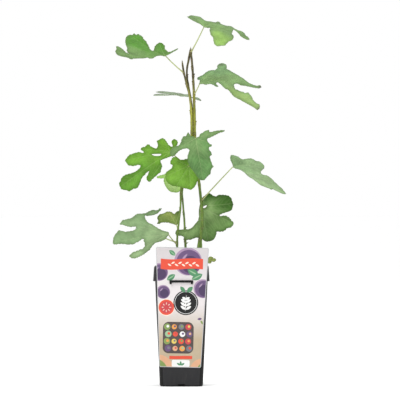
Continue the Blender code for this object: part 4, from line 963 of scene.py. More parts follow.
def ink(name, colour):
    """A printed colour with a faint unevenness under a thin gloss."""
    shader = Shader(f"ink_{name}")
    base = tuple(((part / 255 + 0.055) / 1.055) ** 2.4 * INK_SHARE for part in colour)
    cloud = shader.noise(90.0, 3.0)
    colour = shader.mix(cloud, darker(base, 0.92), darker(base, 1.08))
    if name == "ground":
        low = shader.mix(cloud, (0.38, 0.31, 0.21), (0.44, 0.36, 0.25))
        high = shader.mix(cloud, (0.47, 0.44, 0.45), (0.53, 0.50, 0.50))
        height = shader.axis("Z")
        colour = shader.mix(shader.span(height, 0.095, 0.165, 1.0, 0.0), colour, low)
        colour = shader.mix(shader.span(height, 0.215, 0.255), colour, high)
    shader.colour(colour)
    shader.fix("Roughness", 0.34)
    shader.fix("Specular IOR Level", 0.25)
    shader.fix("Coat Weight", 0.10)
    shader.fix("Coat Roughness", 0.15)
    return shader.material


def label_outline():
    """The card's outline and slot, in its own plane and millimetres, from the slot's middle
    height. The outline hangs askew, and the slot stays square to its bar."""
    seat = COLLAR_Z + COLLAR_LIP
    lean = label_lean()
    top = (LABEL_TOP - seat) / math.cos(lean)
    bottom = (LABEL_BOTTOM - seat) / math.cos(lean)
    outline = []
    for x, y, start in ((LABEL_BOTTOM_HALF, bottom, -90), (LABEL_TOP_HALF, top, 0),
                        (-LABEL_TOP_HALF, top, 90), (-LABEL_BOTTOM_HALF, bottom, 180)):
        middle = np.array((x - math.copysign(LABEL_CORNER, x), y - math.copysign(LABEL_CORNER, y)))
        for angle in np.radians(start + np.linspace(0, 90, LABEL_CORNER_STEPS)):
            outline.append(middle + LABEL_CORNER * np.array((math.cos(angle), math.sin(angle))))
    half = BAR_HALF + LABEL_SLOT_MARGIN
    low = (BAR_LOW - LABEL_SLOT_MARGIN - seat) / math.cos(lean)
    high = (BAR_HIGH + LABEL_SLOT_MARGIN - seat) / math.cos(lean)
    slot = np.array(((-half, low), (half, low), (half, high), (-half, high)))
    return np.array(outline) / MM, slot / MM, top / MM, bottom / MM


def label_lean():
    """How far the card leans back from upright, from the skirt to the wall at its foot."""
    rise = COLLAR_Z + COLLAR_LIP - LABEL_BOTTOM - LABEL_CORNER
    return math.atan2(COLLAR_SKIRT_HALF - wall_half(LABEL_BOTTOM + LABEL_CORNER), rise)


def inset_outline(outline, gap):
    """The outline drawn in by gap, by moving each point along its normal."""
    way = unit(np.roll(outline, -1, axis=0) - np.roll(outline, 1, axis=0))
    return outline + np.column_stack((-way[:, 1], way[:, 0])) * gap


def label_net(hung, slot, shapes, bottom, top):
    """Flat points and triangles over the card that follow every outline in it."""
    points = []
    edges = []
    for shape in (hung, slot, *shapes):
        start = len(points)
        points += [Vector(p) for p in shape]
        edges += [(start + i, start + (i + 1) % len(shape)) for i in range(len(shape))]
    rows = np.arange(bottom, top, LABEL_NET)
    for x in np.arange(-56.0, 60.0, LABEL_NET):
        points += [Vector((x, y)) for y in rows]
    made = delaunay_2d_cdt(points, edges, [], 0, 0.02)
    flat = np.array([tuple(v) for v in made[0]])
    faces = np.array([tuple(f) for f in made[2]])
    middle = flat[faces].mean(axis=1)
    keep = inside(middle, hung) & ~inside(middle, slot)
    used, faces = np.unique(faces[keep], return_inverse=True)
    return flat[used], faces.reshape(-1, 3), middle[keep]


def make_label():
    """The card: every shape of its print is a part of the mesh with its own ink."""
    outline, slot, top, bottom = label_outline()
    lean = label_lean()
    turn = np.array(((math.cos(LABEL_SLANT), -math.sin(LABEL_SLANT)),
                     (math.sin(LABEL_SLANT), math.cos(LABEL_SLANT))))

    def askew(shape):
        return shape @ turn + np.array((LABEL_SHIFT / MM, 0.0))

    hung = askew(outline)
    print_edge = askew(inset_outline(outline, LABEL_INSET))
    art = label_art()
    shapes = [print_edge] + [askew(shape + np.array((0.0, bottom))) for _, shape in art]
    flat, faces, middle = label_net(hung, slot, shapes, bottom, top)
    names = list(INKS)
    colours = np.full(len(faces), names.index("margin"))
    printed = inside(middle, print_edge)
    for name, shape in zip(("ground", *(name for name, _ in art)), shapes):
        colours[inside(middle, shape) & printed] = names.index(name)
    span = np.clip((flat[:, 1] - bottom) / -bottom, 0, 1)
    free = np.clip(flat[:, 1] / top, 0, 1)
    curl = LABEL_CURL * free**2 * (flat[:, 0] / LABEL_CURL_HALF) ** 2
    out = LABEL_BOW * np.sin(math.pi * span) + curl
    seat = -(COLLAR_SKIRT_HALF + GAP) - LABEL_PLATE / 2 / math.cos(lean)
    rise = np.array((0.0, -math.sin(lean), math.cos(lean)))
    front = np.array((0.0, -math.cos(lean), -math.sin(lean)))
    plane = np.zeros((len(flat), 3))
    plane[:, 0] = flat[:, 0] * MM
    plane += np.array((0.0, seat, COLLAR_Z + COLLAR_LIP)) + flat[:, 1:] * MM * rise
    top_side = plane + front * (out + LABEL_THICK / 2)[:, None]
    back_side = plane + front * (out - LABEL_THICK / 2)[:, None]
    tiles = sheet_faces(faces, len(flat))
    slots = list(colours) + [names.index("margin")] * (len(tiles) - len(faces))
    finishes = [ink(name, INKS[name]) for name in names]
    made = mesh_object("label_card", np.vstack((top_side, back_side)), tiles, finishes, slots)
    made.data.set_sharp_from_angle(angle=SHARP_ANGLE)
    place(made, "label", "label")


def compost_finish():
    shader = Shader("compost")
    coarse = shader.noise(150.0, 6.0, 0.7)
    fine = shader.noise(900.0, 4.0, 0.7)
    base = shader.mix(shader.span(coarse, 0.35, 0.65), (0.010, 0.006, 0.004), (0.052, 0.031, 0.018))
    base = shader.mix(shader.span(fine, 0.55, 0.75), base, (0.090, 0.060, 0.038))
    # Painted shade: the compost turns near black low down, where it shows through the drain slots.
    deep = shader.span(shader.axis("Z"), 0.01, 0.05, 1.0, 0.0)
    shader.colour(shader.mix(deep, base, (0.001, 0.001, 0.001)))
    shader.fix("Roughness", 0.95)
    shader.fix("Specular IOR Level", 0.05)
    shader.bump(fine, 0.0009, 0.9)
    return shader.material


def chip_finish(name, light, dark):
    shader = Shader(name)
    grain = shader.noise(520.0, 5.0, 0.65, shader.stretched((1.0, 0.3, 1.0)))
    shader.colour(shader.mix(shader.span(grain, 0.3, 0.7), dark, light))
    shader.fix("Roughness", 0.9)
    shader.bump(grain, 0.0004, 0.7)
    return shader.material


def soil_height(x, y):
    """The compost's surface: heaped round the stems, lower at the wall, and rough."""
    height = SOIL_TOP
    for path in STEMS.values():
        away = math.hypot(x - path[0][0] * MM, y - path[0][1] * MM)
        height += SOIL_HEAP * math.exp(-(away / SOIL_HEAP_REACH) ** 2)
    edge = max(abs(x), abs(y)) / SOIL_HALF
    height -= SOIL_HEAP * edge**6
    for octave, length in enumerate(SOIL_BUMPS):
        bump = smooth_noise((x, y, 0.0), length, SOIL_SEED + octave)
        height += SOIL_ROUGH / (1 + octave) * bump
    return height


def make_compost():
    outline = np.array(rounded_square(SOIL_HALF, CORNER_RADIUS - POT_WALL, POT_CORNER_STEPS + 6))
    size = len(outline)
    points = []
    floor = POT_FLOOR + GAP
    low = wall_half(floor) - POT_WALL - 2 * GAP
    for x, y in rounded_square(low, CORNER_RADIUS - POT_WALL, POT_CORNER_STEPS + 6):
        points.append((x, y, floor))
    for ring in range(SOIL_RINGS):
        share = 1 - ring / SOIL_RINGS
        for x, y in outline * share:
            points.append((x, y, soil_height(x, y)))
    faces = ring_faces(SOIL_RINGS + 1, size)
    faces.append(tuple(reversed(range(size))))
    middle = len(points)
    points.append((0.0, 0.0, soil_height(0.0, 0.0)))
    last = SOIL_RINGS * size
    faces += [(last + i, last + (i + 1) % size, middle) for i in range(size)]
    place(mesh_object("compost", points, faces, [compost_finish()]), "compost", "root_ball")


def make_chips():
    """Bark chips, fibres and a few white grains on the compost, as one piece."""
    rng = random.Random(CHIP_SEED)
    weights, lights, darks, rounds = zip(*CHIPS.values())
    ball = bmesh.new()
    bmesh.ops.create_icosphere(ball, subdivisions=1, radius=1.0)
    base = np.array([tuple(v.co) for v in ball.verts])
    tiles = [tuple(v.index for v in f.verts) for f in ball.faces]
    ball.free()
    points = []
    faces = []
    slots = []
    for _ in range(CHIP_COUNT):
        x = rng.uniform(-1, 1) * (SOIL_HALF - CHIP_EDGE)
        y = rng.uniform(-1, 1) * (SOIL_HALF - CHIP_EDGE)
        if abs(x) + abs(y) > 2 * SOIL_HALF - CORNER_RADIUS:
            continue
        size = rng.uniform(*CHIP_SIZE) * rng.uniform(0.5, 1.0)
        kind = rng.choices(range(len(CHIPS)), weights)[0]
        shape = Vector((1.0, rng.uniform(0.25, 0.7), rng.uniform(0.15, 0.45)))
        if rounds[kind]:
            shape = Vector((0.5, 0.5, 0.5))
        turn = Matrix.Rotation(rng.uniform(0, math.tau), 3, "Z")
        tilt = Matrix.Rotation(rng.gauss(0, 0.35), 3, "X")
        tilt = tilt @ Matrix.Rotation(rng.gauss(0, 0.3), 3, "Y")
        start = len(points)
        for corner in base:
            at = Vector(corner * shape) * size * rng.uniform(0.75, 1.15)
            at = turn @ (tilt @ at)
            points.append((x + at.x, y + at.y, soil_height(x, y) + CHIP_RISE + at.z))
        faces += [tuple(start + i for i in tile) for tile in tiles]
        slots += [kind] * len(tiles)
    kinds = [chip_finish(*looks) for looks in zip(CHIPS, lights, darks)]
    made = mesh_object("compost_chips", points, faces, kinds, slots, smooth=False)
    place(made, "compost")


def spokes_round(path, sides):
    """Unit vectors round each point of a path and square to it, turned as little as can be."""
    ways = unit(np.gradient(path, axis=0))
    side = np.cross(ways[0], (0.0, 1.0, 0.2))
    side /= np.linalg.norm(side)
    right = []
    for way in ways:
        side = side - way * (side @ way)
        side /= np.linalg.norm(side)
        right.append(side)
    right = np.array(right)
    up = np.cross(ways, right)
    angles = np.arange(sides) * math.tau / sides
    return (right[:, None] * np.cos(angles)[None, :, None]
            + up[:, None] * np.sin(angles)[None, :, None])


def along(path):
    """How far along a path each of its points is."""
    steps = np.linalg.norm(np.diff(path, axis=0), axis=1)
    return np.concatenate(((0.0,), np.cumsum(steps)))


def round_rod(path, spokes, radii):
    """Points and faces of a closed rod with a radius for each ring and side."""
    points = (path[:, None] + spokes * radii[:, :, None]).reshape(-1, 3)
    return points, closed_rings(*radii.shape)


def stem_path(name):
    return smooth_curve(np.array(STEMS[name]) * MM, STEM_STEP)


def along_stem(name, height):
    """Middle, direction and radius of a stem at a height."""
    path = stem_path(name)
    i = int(np.searchsorted(path[:, 2], height)) - 1
    share = (height - path[i, 2]) / (path[i + 1, 2] - path[i, 2])
    at = path[i] + share * (path[i + 1] - path[i])
    way = Vector(path[i + 1, :3] - path[i, :3]).normalized()
    return Vector(at[:3]), way, at[3]


def stem_nodes(name):
    """Heights of a stem's joints, and the side each faces: those that bear a leaf, and
    bare ones between them."""
    rng = random.Random(name)
    joints = []
    for leaf in LEAVES.values():
        stem, height = leaf.root
        if stem == name:
            foot, _, _ = along_stem(name, height * MM)
            aim = Vector(leaf.joint) * MM - foot
            joints.append((height * MM, math.atan2(aim.y, aim.x), True))
    top = STEMS[name][-1][2] * MM
    height = STEMS[name][0][2] * MM + NODE_FOOT
    turn = rng.uniform(0, math.tau)
    while height < top - NODE_CLEAR:
        if all(abs(height - other) > NODE_CLEAR for other, _, _ in joints):
            joints.append((height, turn, False))
        turn += NODE_TURN
        height += rng.uniform(*NODE_STEPS) * (1 - 0.5 * (height / top) ** 4)
    return sorted(joints)


def stem_finish():
    """Young bark: olive above, brown and dark in streaks at the tips, deep green below,
    with pale pores, and grey-brown at scars."""
    shader = Shader("young_bark")
    streaks = shader.noise(420.0, 4.0, 0.65, shader.stretched((1.0, 1.0, 0.07)))
    cloud = shader.noise(70.0, 4.0, 0.6)
    height = shader.axis("Z")
    low, high, tip = (
        shader.mix(shader.span(streaks, *limits), dark, light) for limits, dark, light in (
            ((0.30, 0.70), (0.040, 0.085, 0.010), (0.150, 0.240, 0.036)),
            ((0.35, 0.62), (0.115, 0.125, 0.010), (0.330, 0.340, 0.040)),
            ((0.42, 0.58), (0.024, 0.022, 0.008), (0.130, 0.112, 0.040))))
    base = shader.mix(shader.span(height, 0.38, 0.54), low, high)
    base = shader.mix(shader.span(height, 0.560, 0.625), base, tip)
    base = shader.mix(shader.span(cloud, 0.55, 0.80, 0.0, 0.3), base, (0.110, 0.095, 0.040))
    base = shader.mix(shader.times(shader.read("scar"), 0.85), base, (0.150, 0.110, 0.070))
    shader.colour(shader.mix(shader.times(shader.read("pore"), 0.8), base, (0.400, 0.350, 0.220)))
    shader.roughness(shader.span(cloud, 0.3, 0.7, 0.45, 0.62))
    shader.fix("Specular IOR Level", 0.3)
    shader.bump(streaks, 0.00022, 0.6)
    return shader.material


def bud(at, way, length, radius):
    """A pointed bud of overlapping scales, as the points and faces of a small closed body."""
    way = way.normalized()
    side = way.orthogonal().normalized()
    other = way.cross(side)
    points = []
    for ring in range(BUD_RINGS):
        out = ring / (BUD_RINGS - 1)
        wide = radius * (1 - out) ** 0.75 * (0.72 + 1.1 * out * (1 - out))
        wide = max(wide, radius * 0.05)
        for k in range(BUD_SIDES):
            angle = k * math.tau / BUD_SIDES + 0.5 * out
            ripple = 1 + 0.09 * math.sin(3 * angle + 7 * out)
            spoke = side * math.cos(angle) + other * math.sin(angle)
            points.append(at + way * (out * length) + spoke * (wide * ripple))
    return points, closed_rings(BUD_RINGS, BUD_SIDES)


def swell_joints(name, path, bearing, radii, scar):
    """Swells the stem at its joints, each with a ring and a pad, and marks their scars.
    Gives the buds of the bare ones."""
    buds = []
    for height, turn, bears in stem_nodes(name):
        middle, way, radius = along_stem(name, height)
        off = (path[:, 2] - height)[:, None]
        facing = np.clip(np.cos(bearing - turn), 0, 1)
        swell = bell(off, 1, NODE_SWELL_REACH)
        ring = bell(off - NODE_RING_UP, 1, NODE_RING_REACH)
        pad = bell(off + NODE_PAD_DOWN, 1, NODE_PAD_REACH) * facing**3
        radii += radius * (NODE_SWELL * swell + NODE_RING * ring + NODE_PADS[bears] * pad)
        np.maximum(scar, np.maximum(0.75 * ring, 0.0 if bears else pad), out=scar)
        if not bears:
            out = Vector((math.cos(turn), math.sin(turn), 0.0))
            size = radius * BUD_SHARE + BUD_LEAST
            foot = middle + out * radius * 0.85 + way * BUD_UP
            buds.append(bud(foot, (out + way * BUD_LEAN).normalized(), size * BUD_LONG, size))
    return buds


def add_pores(path, bearing, radii, pore, rng):
    """Raises small pale pores all along the bark and marks them."""
    run = along(path)
    for _ in range(int(run[-1] / PORE_STEP)):
        where = rng.uniform(0, run[-1])
        turn = rng.uniform(-math.pi, math.pi)
        size = rng.uniform(*PORE_SIZE)
        off = ((run - where) / (size * 1.6))[:, None]
        around = np.angle(np.exp(1j * (bearing - turn))) * radii / size
        spot = np.exp(-(off**2 + around**2))
        radii += PORE_RISE * spot
        np.maximum(pore, spot, out=pore)


def make_stem(name, finish):
    knots = stem_path(name)
    path = knots[:, :3]
    seed = sum(map(ord, name)) % 97
    spokes = spokes_round(path, STEM_SIDES)
    bearing = np.arctan2(spokes[:, :, 1], spokes[:, :, 0])
    radii = np.repeat(knots[:, 3:4], STEM_SIDES, axis=1)
    for i, p in enumerate(path):
        for j in range(STEM_SIDES):
            at = p + spokes[i, j] * radii[i, j]
            streak = smooth_noise((at[0], at[1], at[2] * STREAK_SQUASH), STREAK_LENGTH, seed)
            lump = smooth_noise(at, LUMP_LENGTH, seed + 1)
            radii[i, j] *= 1 + STREAK * streak + LUMP * lump
    scar = np.zeros_like(radii)
    pore = np.zeros_like(radii)
    buds = swell_joints(name, path, bearing, radii, scar)
    add_pores(path, bearing, radii, pore, random.Random(seed))
    points, faces = round_rod(path, spokes, radii)
    points = list(points)
    scar = list(scar.ravel())
    pore = list(pore.ravel())
    tip_way = Vector(path[-1] - path[-3])
    tip_radius = knots[-4, 3] * TIP_BUD_SHARE
    buds.append(bud(Vector(path[-4]), tip_way, TIP_BUD_LENGTH, tip_radius))
    if name == STUB_STEM:
        middle, _, radius = along_stem(name, STUB_HEIGHT)
        out = Vector(STUB_WAY)
        buds.append(bud(middle + out * radius * 0.5, out, STUB_LENGTH, STUB_RADIUS))
    for more, tiles in buds:
        start = len(points)
        points += [tuple(p) for p in more]
        faces += [tuple(start + i for i in tile) for tile in tiles]
        scar += [0.35] * len(more)
        pore += [0.0] * len(more)
    made = mesh_object(f"{name}_bark", points, faces, [finish], scar=scar, pore=pore)
    place(made, "stem", name)


def petiole_finish():
    shader = Shader("petiole")
    streaks = shader.noise(500.0, 3.0, 0.6, shader.stretched((1.0, 1.0, 0.12)))
    base = shader.mix(shader.span(streaks, 0.3, 0.7), (0.270, 0.330, 0.110), (0.430, 0.480, 0.210))
    near = shader.times(shader.read("near_stem"), 0.55)
    shader.colour(shader.mix(near, base, (0.250, 0.200, 0.085)))
    shader.fix("Roughness", 0.5)
    shader.bump(streaks, 0.0001, 0.5)
    return shader.material


def make_petiole(name, leaf, finish):
    """From inside its stem, swollen where it leaves, to the joint of the ribs."""
    foot, _, _ = along_stem(leaf.root[0], leaf.root[1] * MM)
    joint = Vector(leaf.joint) * MM
    middle = (foot + joint) / 2 + Vector(leaf.bow) * MM
    length = (joint - foot).length
    t = np.linspace(0.0, 1.0, max(12, round(length / PETIOLE_STEP)))[:, None]
    path = (1 - t) ** 2 * np.array(foot) + 2 * t * (1 - t) * np.array(middle)
    path = path + t * t * np.array(joint)
    run = along(path)
    radius = PETIOLE_BASE_RADIUS + t[:, 0] * (PETIOLE_TIP_RADIUS - PETIOLE_BASE_RADIUS)
    radius = radius * (1 + bell(run, *PETIOLE_FLARE)) * (1 + bell(run[-1] - run, *PETIOLE_CAP))
    radius = radius * (0.45 + 0.55 * min(1.0, length / PETIOLE_FULL))
    angles = np.arange(PETIOLE_SIDES) * math.tau / PETIOLE_SIDES
    off = np.angle(np.exp(1j * (angles - math.pi / 2)))
    radii = radius[:, None] * (1 - bell(off, *PETIOLE_GROOVE))[None]
    for i, p in enumerate(path):
        for j in range(PETIOLE_SIDES):
            radii[i, j] *= 1 + 0.05 * smooth_noise((p[0] + j, p[1], p[2]), 0.004, STALK_SEED)
    points, faces = round_rod(path, spokes_round(path, PETIOLE_SIDES), radii)
    near = np.repeat(np.exp(-run / PETIOLE_TINT_REACH), PETIOLE_SIDES)
    made = mesh_object(f"{name}_stalk", points, faces, [finish], near_stem=near)
    place(made, "petiole", f"petiole_{name}")


def blade_plane(tips):
    """Rows: along the blade, across it, and its upward normal."""
    knots = np.vstack((np.zeros(3), tips))
    normal = np.linalg.svd(knots - knots.mean(axis=0))[2][2]
    if normal @ LIGHT_SIDE < 0:
        normal = -normal
    along_blade = tips.sum(axis=0)
    along_blade -= normal * (along_blade @ normal)
    along_blade /= np.linalg.norm(along_blade)
    return np.array((along_blade, np.cross(normal, along_blade), normal))


def blade_knots(leaf):
    """The blade's plane, its tips and notches in that plane, and half widths."""
    lobes = np.array(leaf.lobes, float) * MM
    tips = lobes[:, :3]
    plane = blade_plane(tips)
    notches = []
    for i, share in enumerate(leaf.notches):
        ribs = np.linalg.norm(tips[i : i + 2], axis=1)
        way = tips[i] / ribs[0] + tips[i + 1] / ribs[1]
        notches.append(plane @ (way / np.linalg.norm(way) * share * ribs.min()))
    return plane, tips @ plane.T, np.array(notches), lobes[:, 3]


def turn_of(flat):
    """1 where the lobes follow each other anticlockwise in the plane, else -1."""
    total = sum(a[0] * b[1] - a[1] * b[0] for a, b in zip(flat, flat[1:]))
    return math.copysign(1.0, total)


def lobed_outline(flat, notches, widths):
    """Knots round a blade that is known by its lobes, in its plane."""
    base = np.array((-BASE_BACK, 0.0))
    gaps = [base, *notches[:, :2], base]
    turn = turn_of(flat)
    knots = [base]
    for i, tip in enumerate(flat[:, :2]):
        root = (gaps[i] + gaps[i + 1]) / 2
        rib = tip - root
        side = np.array((-rib[1], rib[0])) / np.linalg.norm(rib) * turn
        for out, wide in LOBE_SHAPE:
            knots.append(root + out * rib - side * wide * widths[i])
        knots.append(tip)
        for out, wide in reversed(LOBE_SHAPE):
            knots.append(root + out * rib + side * wide * widths[i])
        if i < len(flat) - 1:
            knots.append(gaps[i + 1])
    return np.array(knots)


def laid_back(seen, leaf, plane, height):
    """Places seen by the front camera, laid onto the curved blade, in its plane."""
    joint = np.array(leaf.joint) * MM
    steps = (np.reshape(seen, (-1, 2)) - VIEW_CORNER) * (VIEW_STEP, -VIEW_STEP) - VIEW_CENTRE
    shown = plane[:, (0, 2)]
    back = np.linalg.inv(shown[:2])
    centre = VIEW_CENTRE - joint[[0, 2]]
    flat = (steps + centre) @ back
    for _ in range(SEEN_ROUNDS):
        rise = height(flat)
        depth = joint[1] + np.column_stack((flat, rise)) @ plane[:, 1]
        target = steps * (1 + depth / VIEW_DISTANCE)[:, None] + centre
        flat = (flat + (target - rise[:, None] * shown[2]) @ back) / 2
    return flat


def scalloped(rim, seed, size):
    """The rim with rounded teeth of uneven length, none of them at the joint."""
    steps = np.linalg.norm(np.roll(rim, -1, axis=0) - rim, axis=1)
    run = np.concatenate(((0.0,), np.cumsum(steps)[:-1]))
    way = unit(np.roll(rim, -1, axis=0) - np.roll(rim, 1, axis=0))
    area = np.sum(rim[:, 0] * np.roll(rim[:, 1], -1) - np.roll(rim[:, 0], -1) * rim[:, 1])
    outward = np.column_stack((way[:, 1], -way[:, 0])) * math.copysign(1.0, area)
    drift = np.array([smooth_noise((s, seed, 0.0), 0.019, seed) for s in run])
    rise = np.array([smooth_noise((s, 0.0, seed), 0.026, seed + 4.0) for s in run])
    phase = run / SCALLOP_LENGTH + 1.3 * drift
    tooth = np.abs(np.sin(math.pi * phase)) ** 0.8 - 0.55
    quiet = 1 - bell(np.linalg.norm(rim, axis=1), 1, SCALLOP_QUIET)
    push = size * SCALLOP_DEPTH * (tooth * (0.75 + 0.6 * rise) + 0.9 * rise) * quiet
    return rim + outward * push[:, None]


def thin_plate(knots, heights):
    """A smooth height over flat points that passes through the knots."""
    def bend(a, b):
        gap = np.linalg.norm(a[:, None] - b[None], axis=2)
        return gap**2 * np.log(np.maximum(gap, TINY))
    count = len(knots)
    flat = np.column_stack((np.ones(count), knots))
    system = np.zeros((count + 3, count + 3))
    system[:count, :count] = bend(knots, knots)
    system[:count, count:] = flat
    system[count:, :count] = flat.T
    weights = np.linalg.solve(system, np.append(heights, (0, 0, 0)))

    def height(points):
        slope = np.column_stack((np.ones(len(points)), points)) @ weights[count:]
        return bend(points, knots) @ weights[:count] + slope
    return height


def inside(points, rim):
    """Which points lie inside a closed rim, by crossings."""
    x1, y1 = rim.T
    x2, y2 = np.roll(rim, -1, axis=0).T
    rise = np.where(y2 == y1, TINY, y2 - y1)
    found = []
    for start in range(0, len(points), BATCH):
        x, y = points[start : start + BATCH].T[:, :, None]
        between = (y1 > y) != (y2 > y)
        found.append((between & (x < x1 + (y - y1) / rise * (x2 - x1))).sum(axis=1) % 2 == 1)
    return np.concatenate(found) if found else np.zeros(0, bool)


def distances(points, others):
    """Each point's distance to the nearest of others, and which one it is."""
    tree = kdtree.KDTree(len(others))
    for i, other in enumerate(others):
        tree.insert((*other[:2], 0.0), i)
    tree.balance()
    found = [tree.find((p[0], p[1], 0.0)) for p in points]
    return np.array([f[2] for f in found]), np.array([f[1] for f in found], int)


def primary_ribs(leaf, plane, flat):
    """Each lobe's rib, from the joint to near its tip, bowed where the leaf says so."""
    ribs = []
    for i, tip in enumerate(flat[:, :2]):
        bend = tip / 2
        if i in leaf.bends:
            bend = (plane @ (np.array(leaf.bends[i]) * MM))[:2]
        count = max(6, int(np.linalg.norm(tip) / VEIN_STEP))
        t = np.linspace(0.0, 0.97, count)[:, None]
        ribs.append(2 * t * (1 - t) * bend + t * t * tip)
    return ribs


def side_veins(ribs, rim, rng):
    """Veins that leave each rib by turns on either side and curve towards its tip."""
    veins = []
    for number, rib in enumerate(ribs):
        others = np.vstack([r for k, r in enumerate(ribs) if k != number])
        run = along(rib)
        at = rng.uniform(0.5, 0.9) * SIDE_SPACING
        side = 1
        while at < run[-1] - SIDE_END:
            i = int(np.searchsorted(run, at))
            way = rib[min(i + 1, len(rib) - 1)] - rib[i - 1]
            way /= np.linalg.norm(way)
            angle = side * SIDE_ANGLE * rng.uniform(0.85, 1.1)
            spot = rib[i].copy()
            vein = [spot.copy()]
            for _ in range(SIDE_STEPS):
                heading = np.array((way[0] * math.cos(angle) - way[1] * math.sin(angle),
                                    way[0] * math.sin(angle) + way[1] * math.cos(angle)))
                spot = spot + heading * VEIN_STEP
                if not inside(spot[None], rim)[0]:
                    break
                near = np.linalg.norm(others - spot, axis=1).min() < SIDE_APART
                if len(vein) > 3 and near:
                    break
                vein.append(spot)
                angle *= SIDE_TURN
            if len(vein) > 3:
                veins.append(np.array(vein[: int(len(vein) * SIDE_KEPT)]))
            side = -side
            at += SIDE_SPACING * rng.uniform(0.45, 0.62)
    return veins


def blade_net(rim, opening, veins, step):
    """Triangles over the blade, from its rim, its veins and an even net between them."""
    low = rim.min(axis=0)
    high = rim.max(axis=0)
    rows = []
    for row, y in enumerate(np.arange(low[1], high[1], step * NET_ROW)):
        shift = step / 2 if row % 2 else 0.0
        xs = np.arange(low[0], high[0], step) + shift
        rows.append(np.column_stack((xs, np.full(len(xs), y))))
    edges = np.vstack((rim, opening))
    net = np.vstack(rows)
    net = net[inside(net, rim)]
    net = net[distances(net, edges)[0] > step * NET_CLEAR]
    lines = []
    for vein in veins:
        way = unit(np.gradient(vein, axis=0))
        across = np.column_stack((-way[:, 1], way[:, 0])) * RIB_WIDTH
        lines += [vein, vein + across, vein - across]
    lines = np.vstack(lines)
    lines = lines[inside(lines, rim)]
    lines = lines[distances(lines, edges)[0] > step * 0.3]
    kept = thinned(lines, step * 0.3)
    net = net[distances(net, kept)[0] > step * 0.5]
    points = [Vector(p) for p in (*edges, *kept, *net)]
    first = len(rim)
    count = len(opening)
    loop = [(first + i, first + (i + 1) % count) for i in range(count)]
    made = delaunay_2d_cdt(points, loop, [list(range(first))], 1, TINY)
    flat = np.array([tuple(v) for v in made[0]])
    faces = np.array([tuple(f) for f in made[2]])
    if count:
        faces = faces[~inside(flat[faces].mean(axis=1), opening)]
    return flat, faces


def thinned(points, gap):
    """The points without those that fall in a square cell which is already taken."""
    seen = set()
    kept = []
    for p in points:
        cell = (round(p[0] / gap), round(p[1] / gap))
        if cell not in seen:
            seen.add(cell)
            kept.append(p)
    return np.array(kept)


def vein_strength(points, veins, width):
    """How strongly a family of veins shows at each point, and the way to the nearest."""
    taper = np.concatenate([np.linspace(1.0, VEIN_TAPER, len(vein)) for vein in veins])
    gap, which = distances(points, np.vstack(veins))
    taper = taper[which]
    return bell(gap, 0.4 + 0.6 * taper, width * taper), gap


def leaf_finish(name, upper, sunlit):
    """A rough blade: mottled green with painted sunlight on its lobes, pale veins, painted shade
    along the margin, a paler underside and a browned rim.
    """
    shader = Shader(f"leaf_{name}")
    mottle = shader.noise(42.0, 4.0, 0.6)
    fine = shader.noise(420.0, 3.0, 0.6)
    cells = shader.cells(330.0)
    base = shader.mix(shader.span(mottle, 0.36, 0.64), darker(upper, 0.74), darker(upper, 1.22))
    # Painted light: a sunlit green laid over the shaded green, more on some lobes than others.
    painted_light = shader.mix(shader.span(mottle, 0.36, 0.64), darker(sunlit, 0.82), darker(sunlit, 1.15))
    base = shader.mix(shader.read("painted_light"), base, painted_light)
    base = shader.mix(shader.span(fine, 0.5, 0.8, 0.0, 0.06), base, darker(upper, 0.7))
    web = shader.span(cells, 0.0, 0.09, 0.04, 0.0)
    pale = tuple(0.55 * part + 0.45 * light for part, light in zip(sunlit, (0.62, 0.70, 0.38)))
    base = shader.mix(web, base, pale)
    base = shader.mix(shader.times(shader.read("vein"), 0.38), base, pale)
    # Painted shade: a darker green band along the rim.
    base = shader.mix(shader.times(shader.read("margin"), 0.45), base, darker(upper, 0.62))
    under = tuple(0.5 * part + 0.5 * light for part, light in zip(upper, (0.34, 0.44, 0.25)))
    base = shader.mix(shader.times(shader.read("under"), 0.75), base, under)
    base = shader.mix(shader.times(shader.read("edge"), 0.35), base, (0.120, 0.130, 0.050))
    shader.colour(shader.mix(shader.times(shader.read("dry"), 0.9), base, (0.060, 0.052, 0.040)))
    shader.roughness(shader.span(fine, 0.3, 0.7, 0.50, 0.66))
    shader.fix("Specular IOR Level", 0.1)
    shader.bump(cells, 0.00018, 0.15)
    shader.bump(fine, 0.00010, 0.15)
    return shader.material


def lobe_painted_light(points, ribs, painted_light):
    """A share from 0 to 1 of painted sunlight: each lobe's own, and last that of the middle,
    blended.
    """
    parts = [rib[len(rib) // 2 :] for rib in ribs]
    parts.append(np.vstack([rib[: len(rib) // 3] for rib in ribs]))
    weights = []
    for part in parts:
        gap, _ = distances(points, part)
        weights.append(np.exp(-gap / PAINTED_LIGHT_REACH))
    weights = np.array(weights) + TINY
    return np.array(painted_light) @ weights / weights.sum(axis=0)


def blade_surface(leaf, plane, flat, notches):
    """The blade's smooth height over its plane, through its joint, ribs, tips and notches."""
    middles = flat / 2
    middles[:, 2] += leaf.arch * np.linalg.norm(flat, axis=1)
    for i, bend in leaf.bends.items():
        middles[i] = plane @ (np.array(bend) * MM) / 2 + flat[i] / 4
    knots = np.vstack((np.zeros((1, 3)), flat, middles, *notches))
    return thin_plate(knots[:, :2], knots[:, 2])


def blade_edges(name, leaf, plane, flat, notches, widths, surface):
    """The blade's outline, and that of the opening in it, which may have no points."""
    if name not in RIMS:
        return lobed_outline(flat, notches, widths), np.zeros((0, 2))
    opening = np.zeros((0, 2))
    if name in OPENINGS:
        drawn = laid_back(OPENINGS[name], leaf, plane, surface)
        opening = smooth_curve(drawn, RIM_STEP, closed=True)
    return laid_back(RIMS[name], leaf, plane, surface), opening


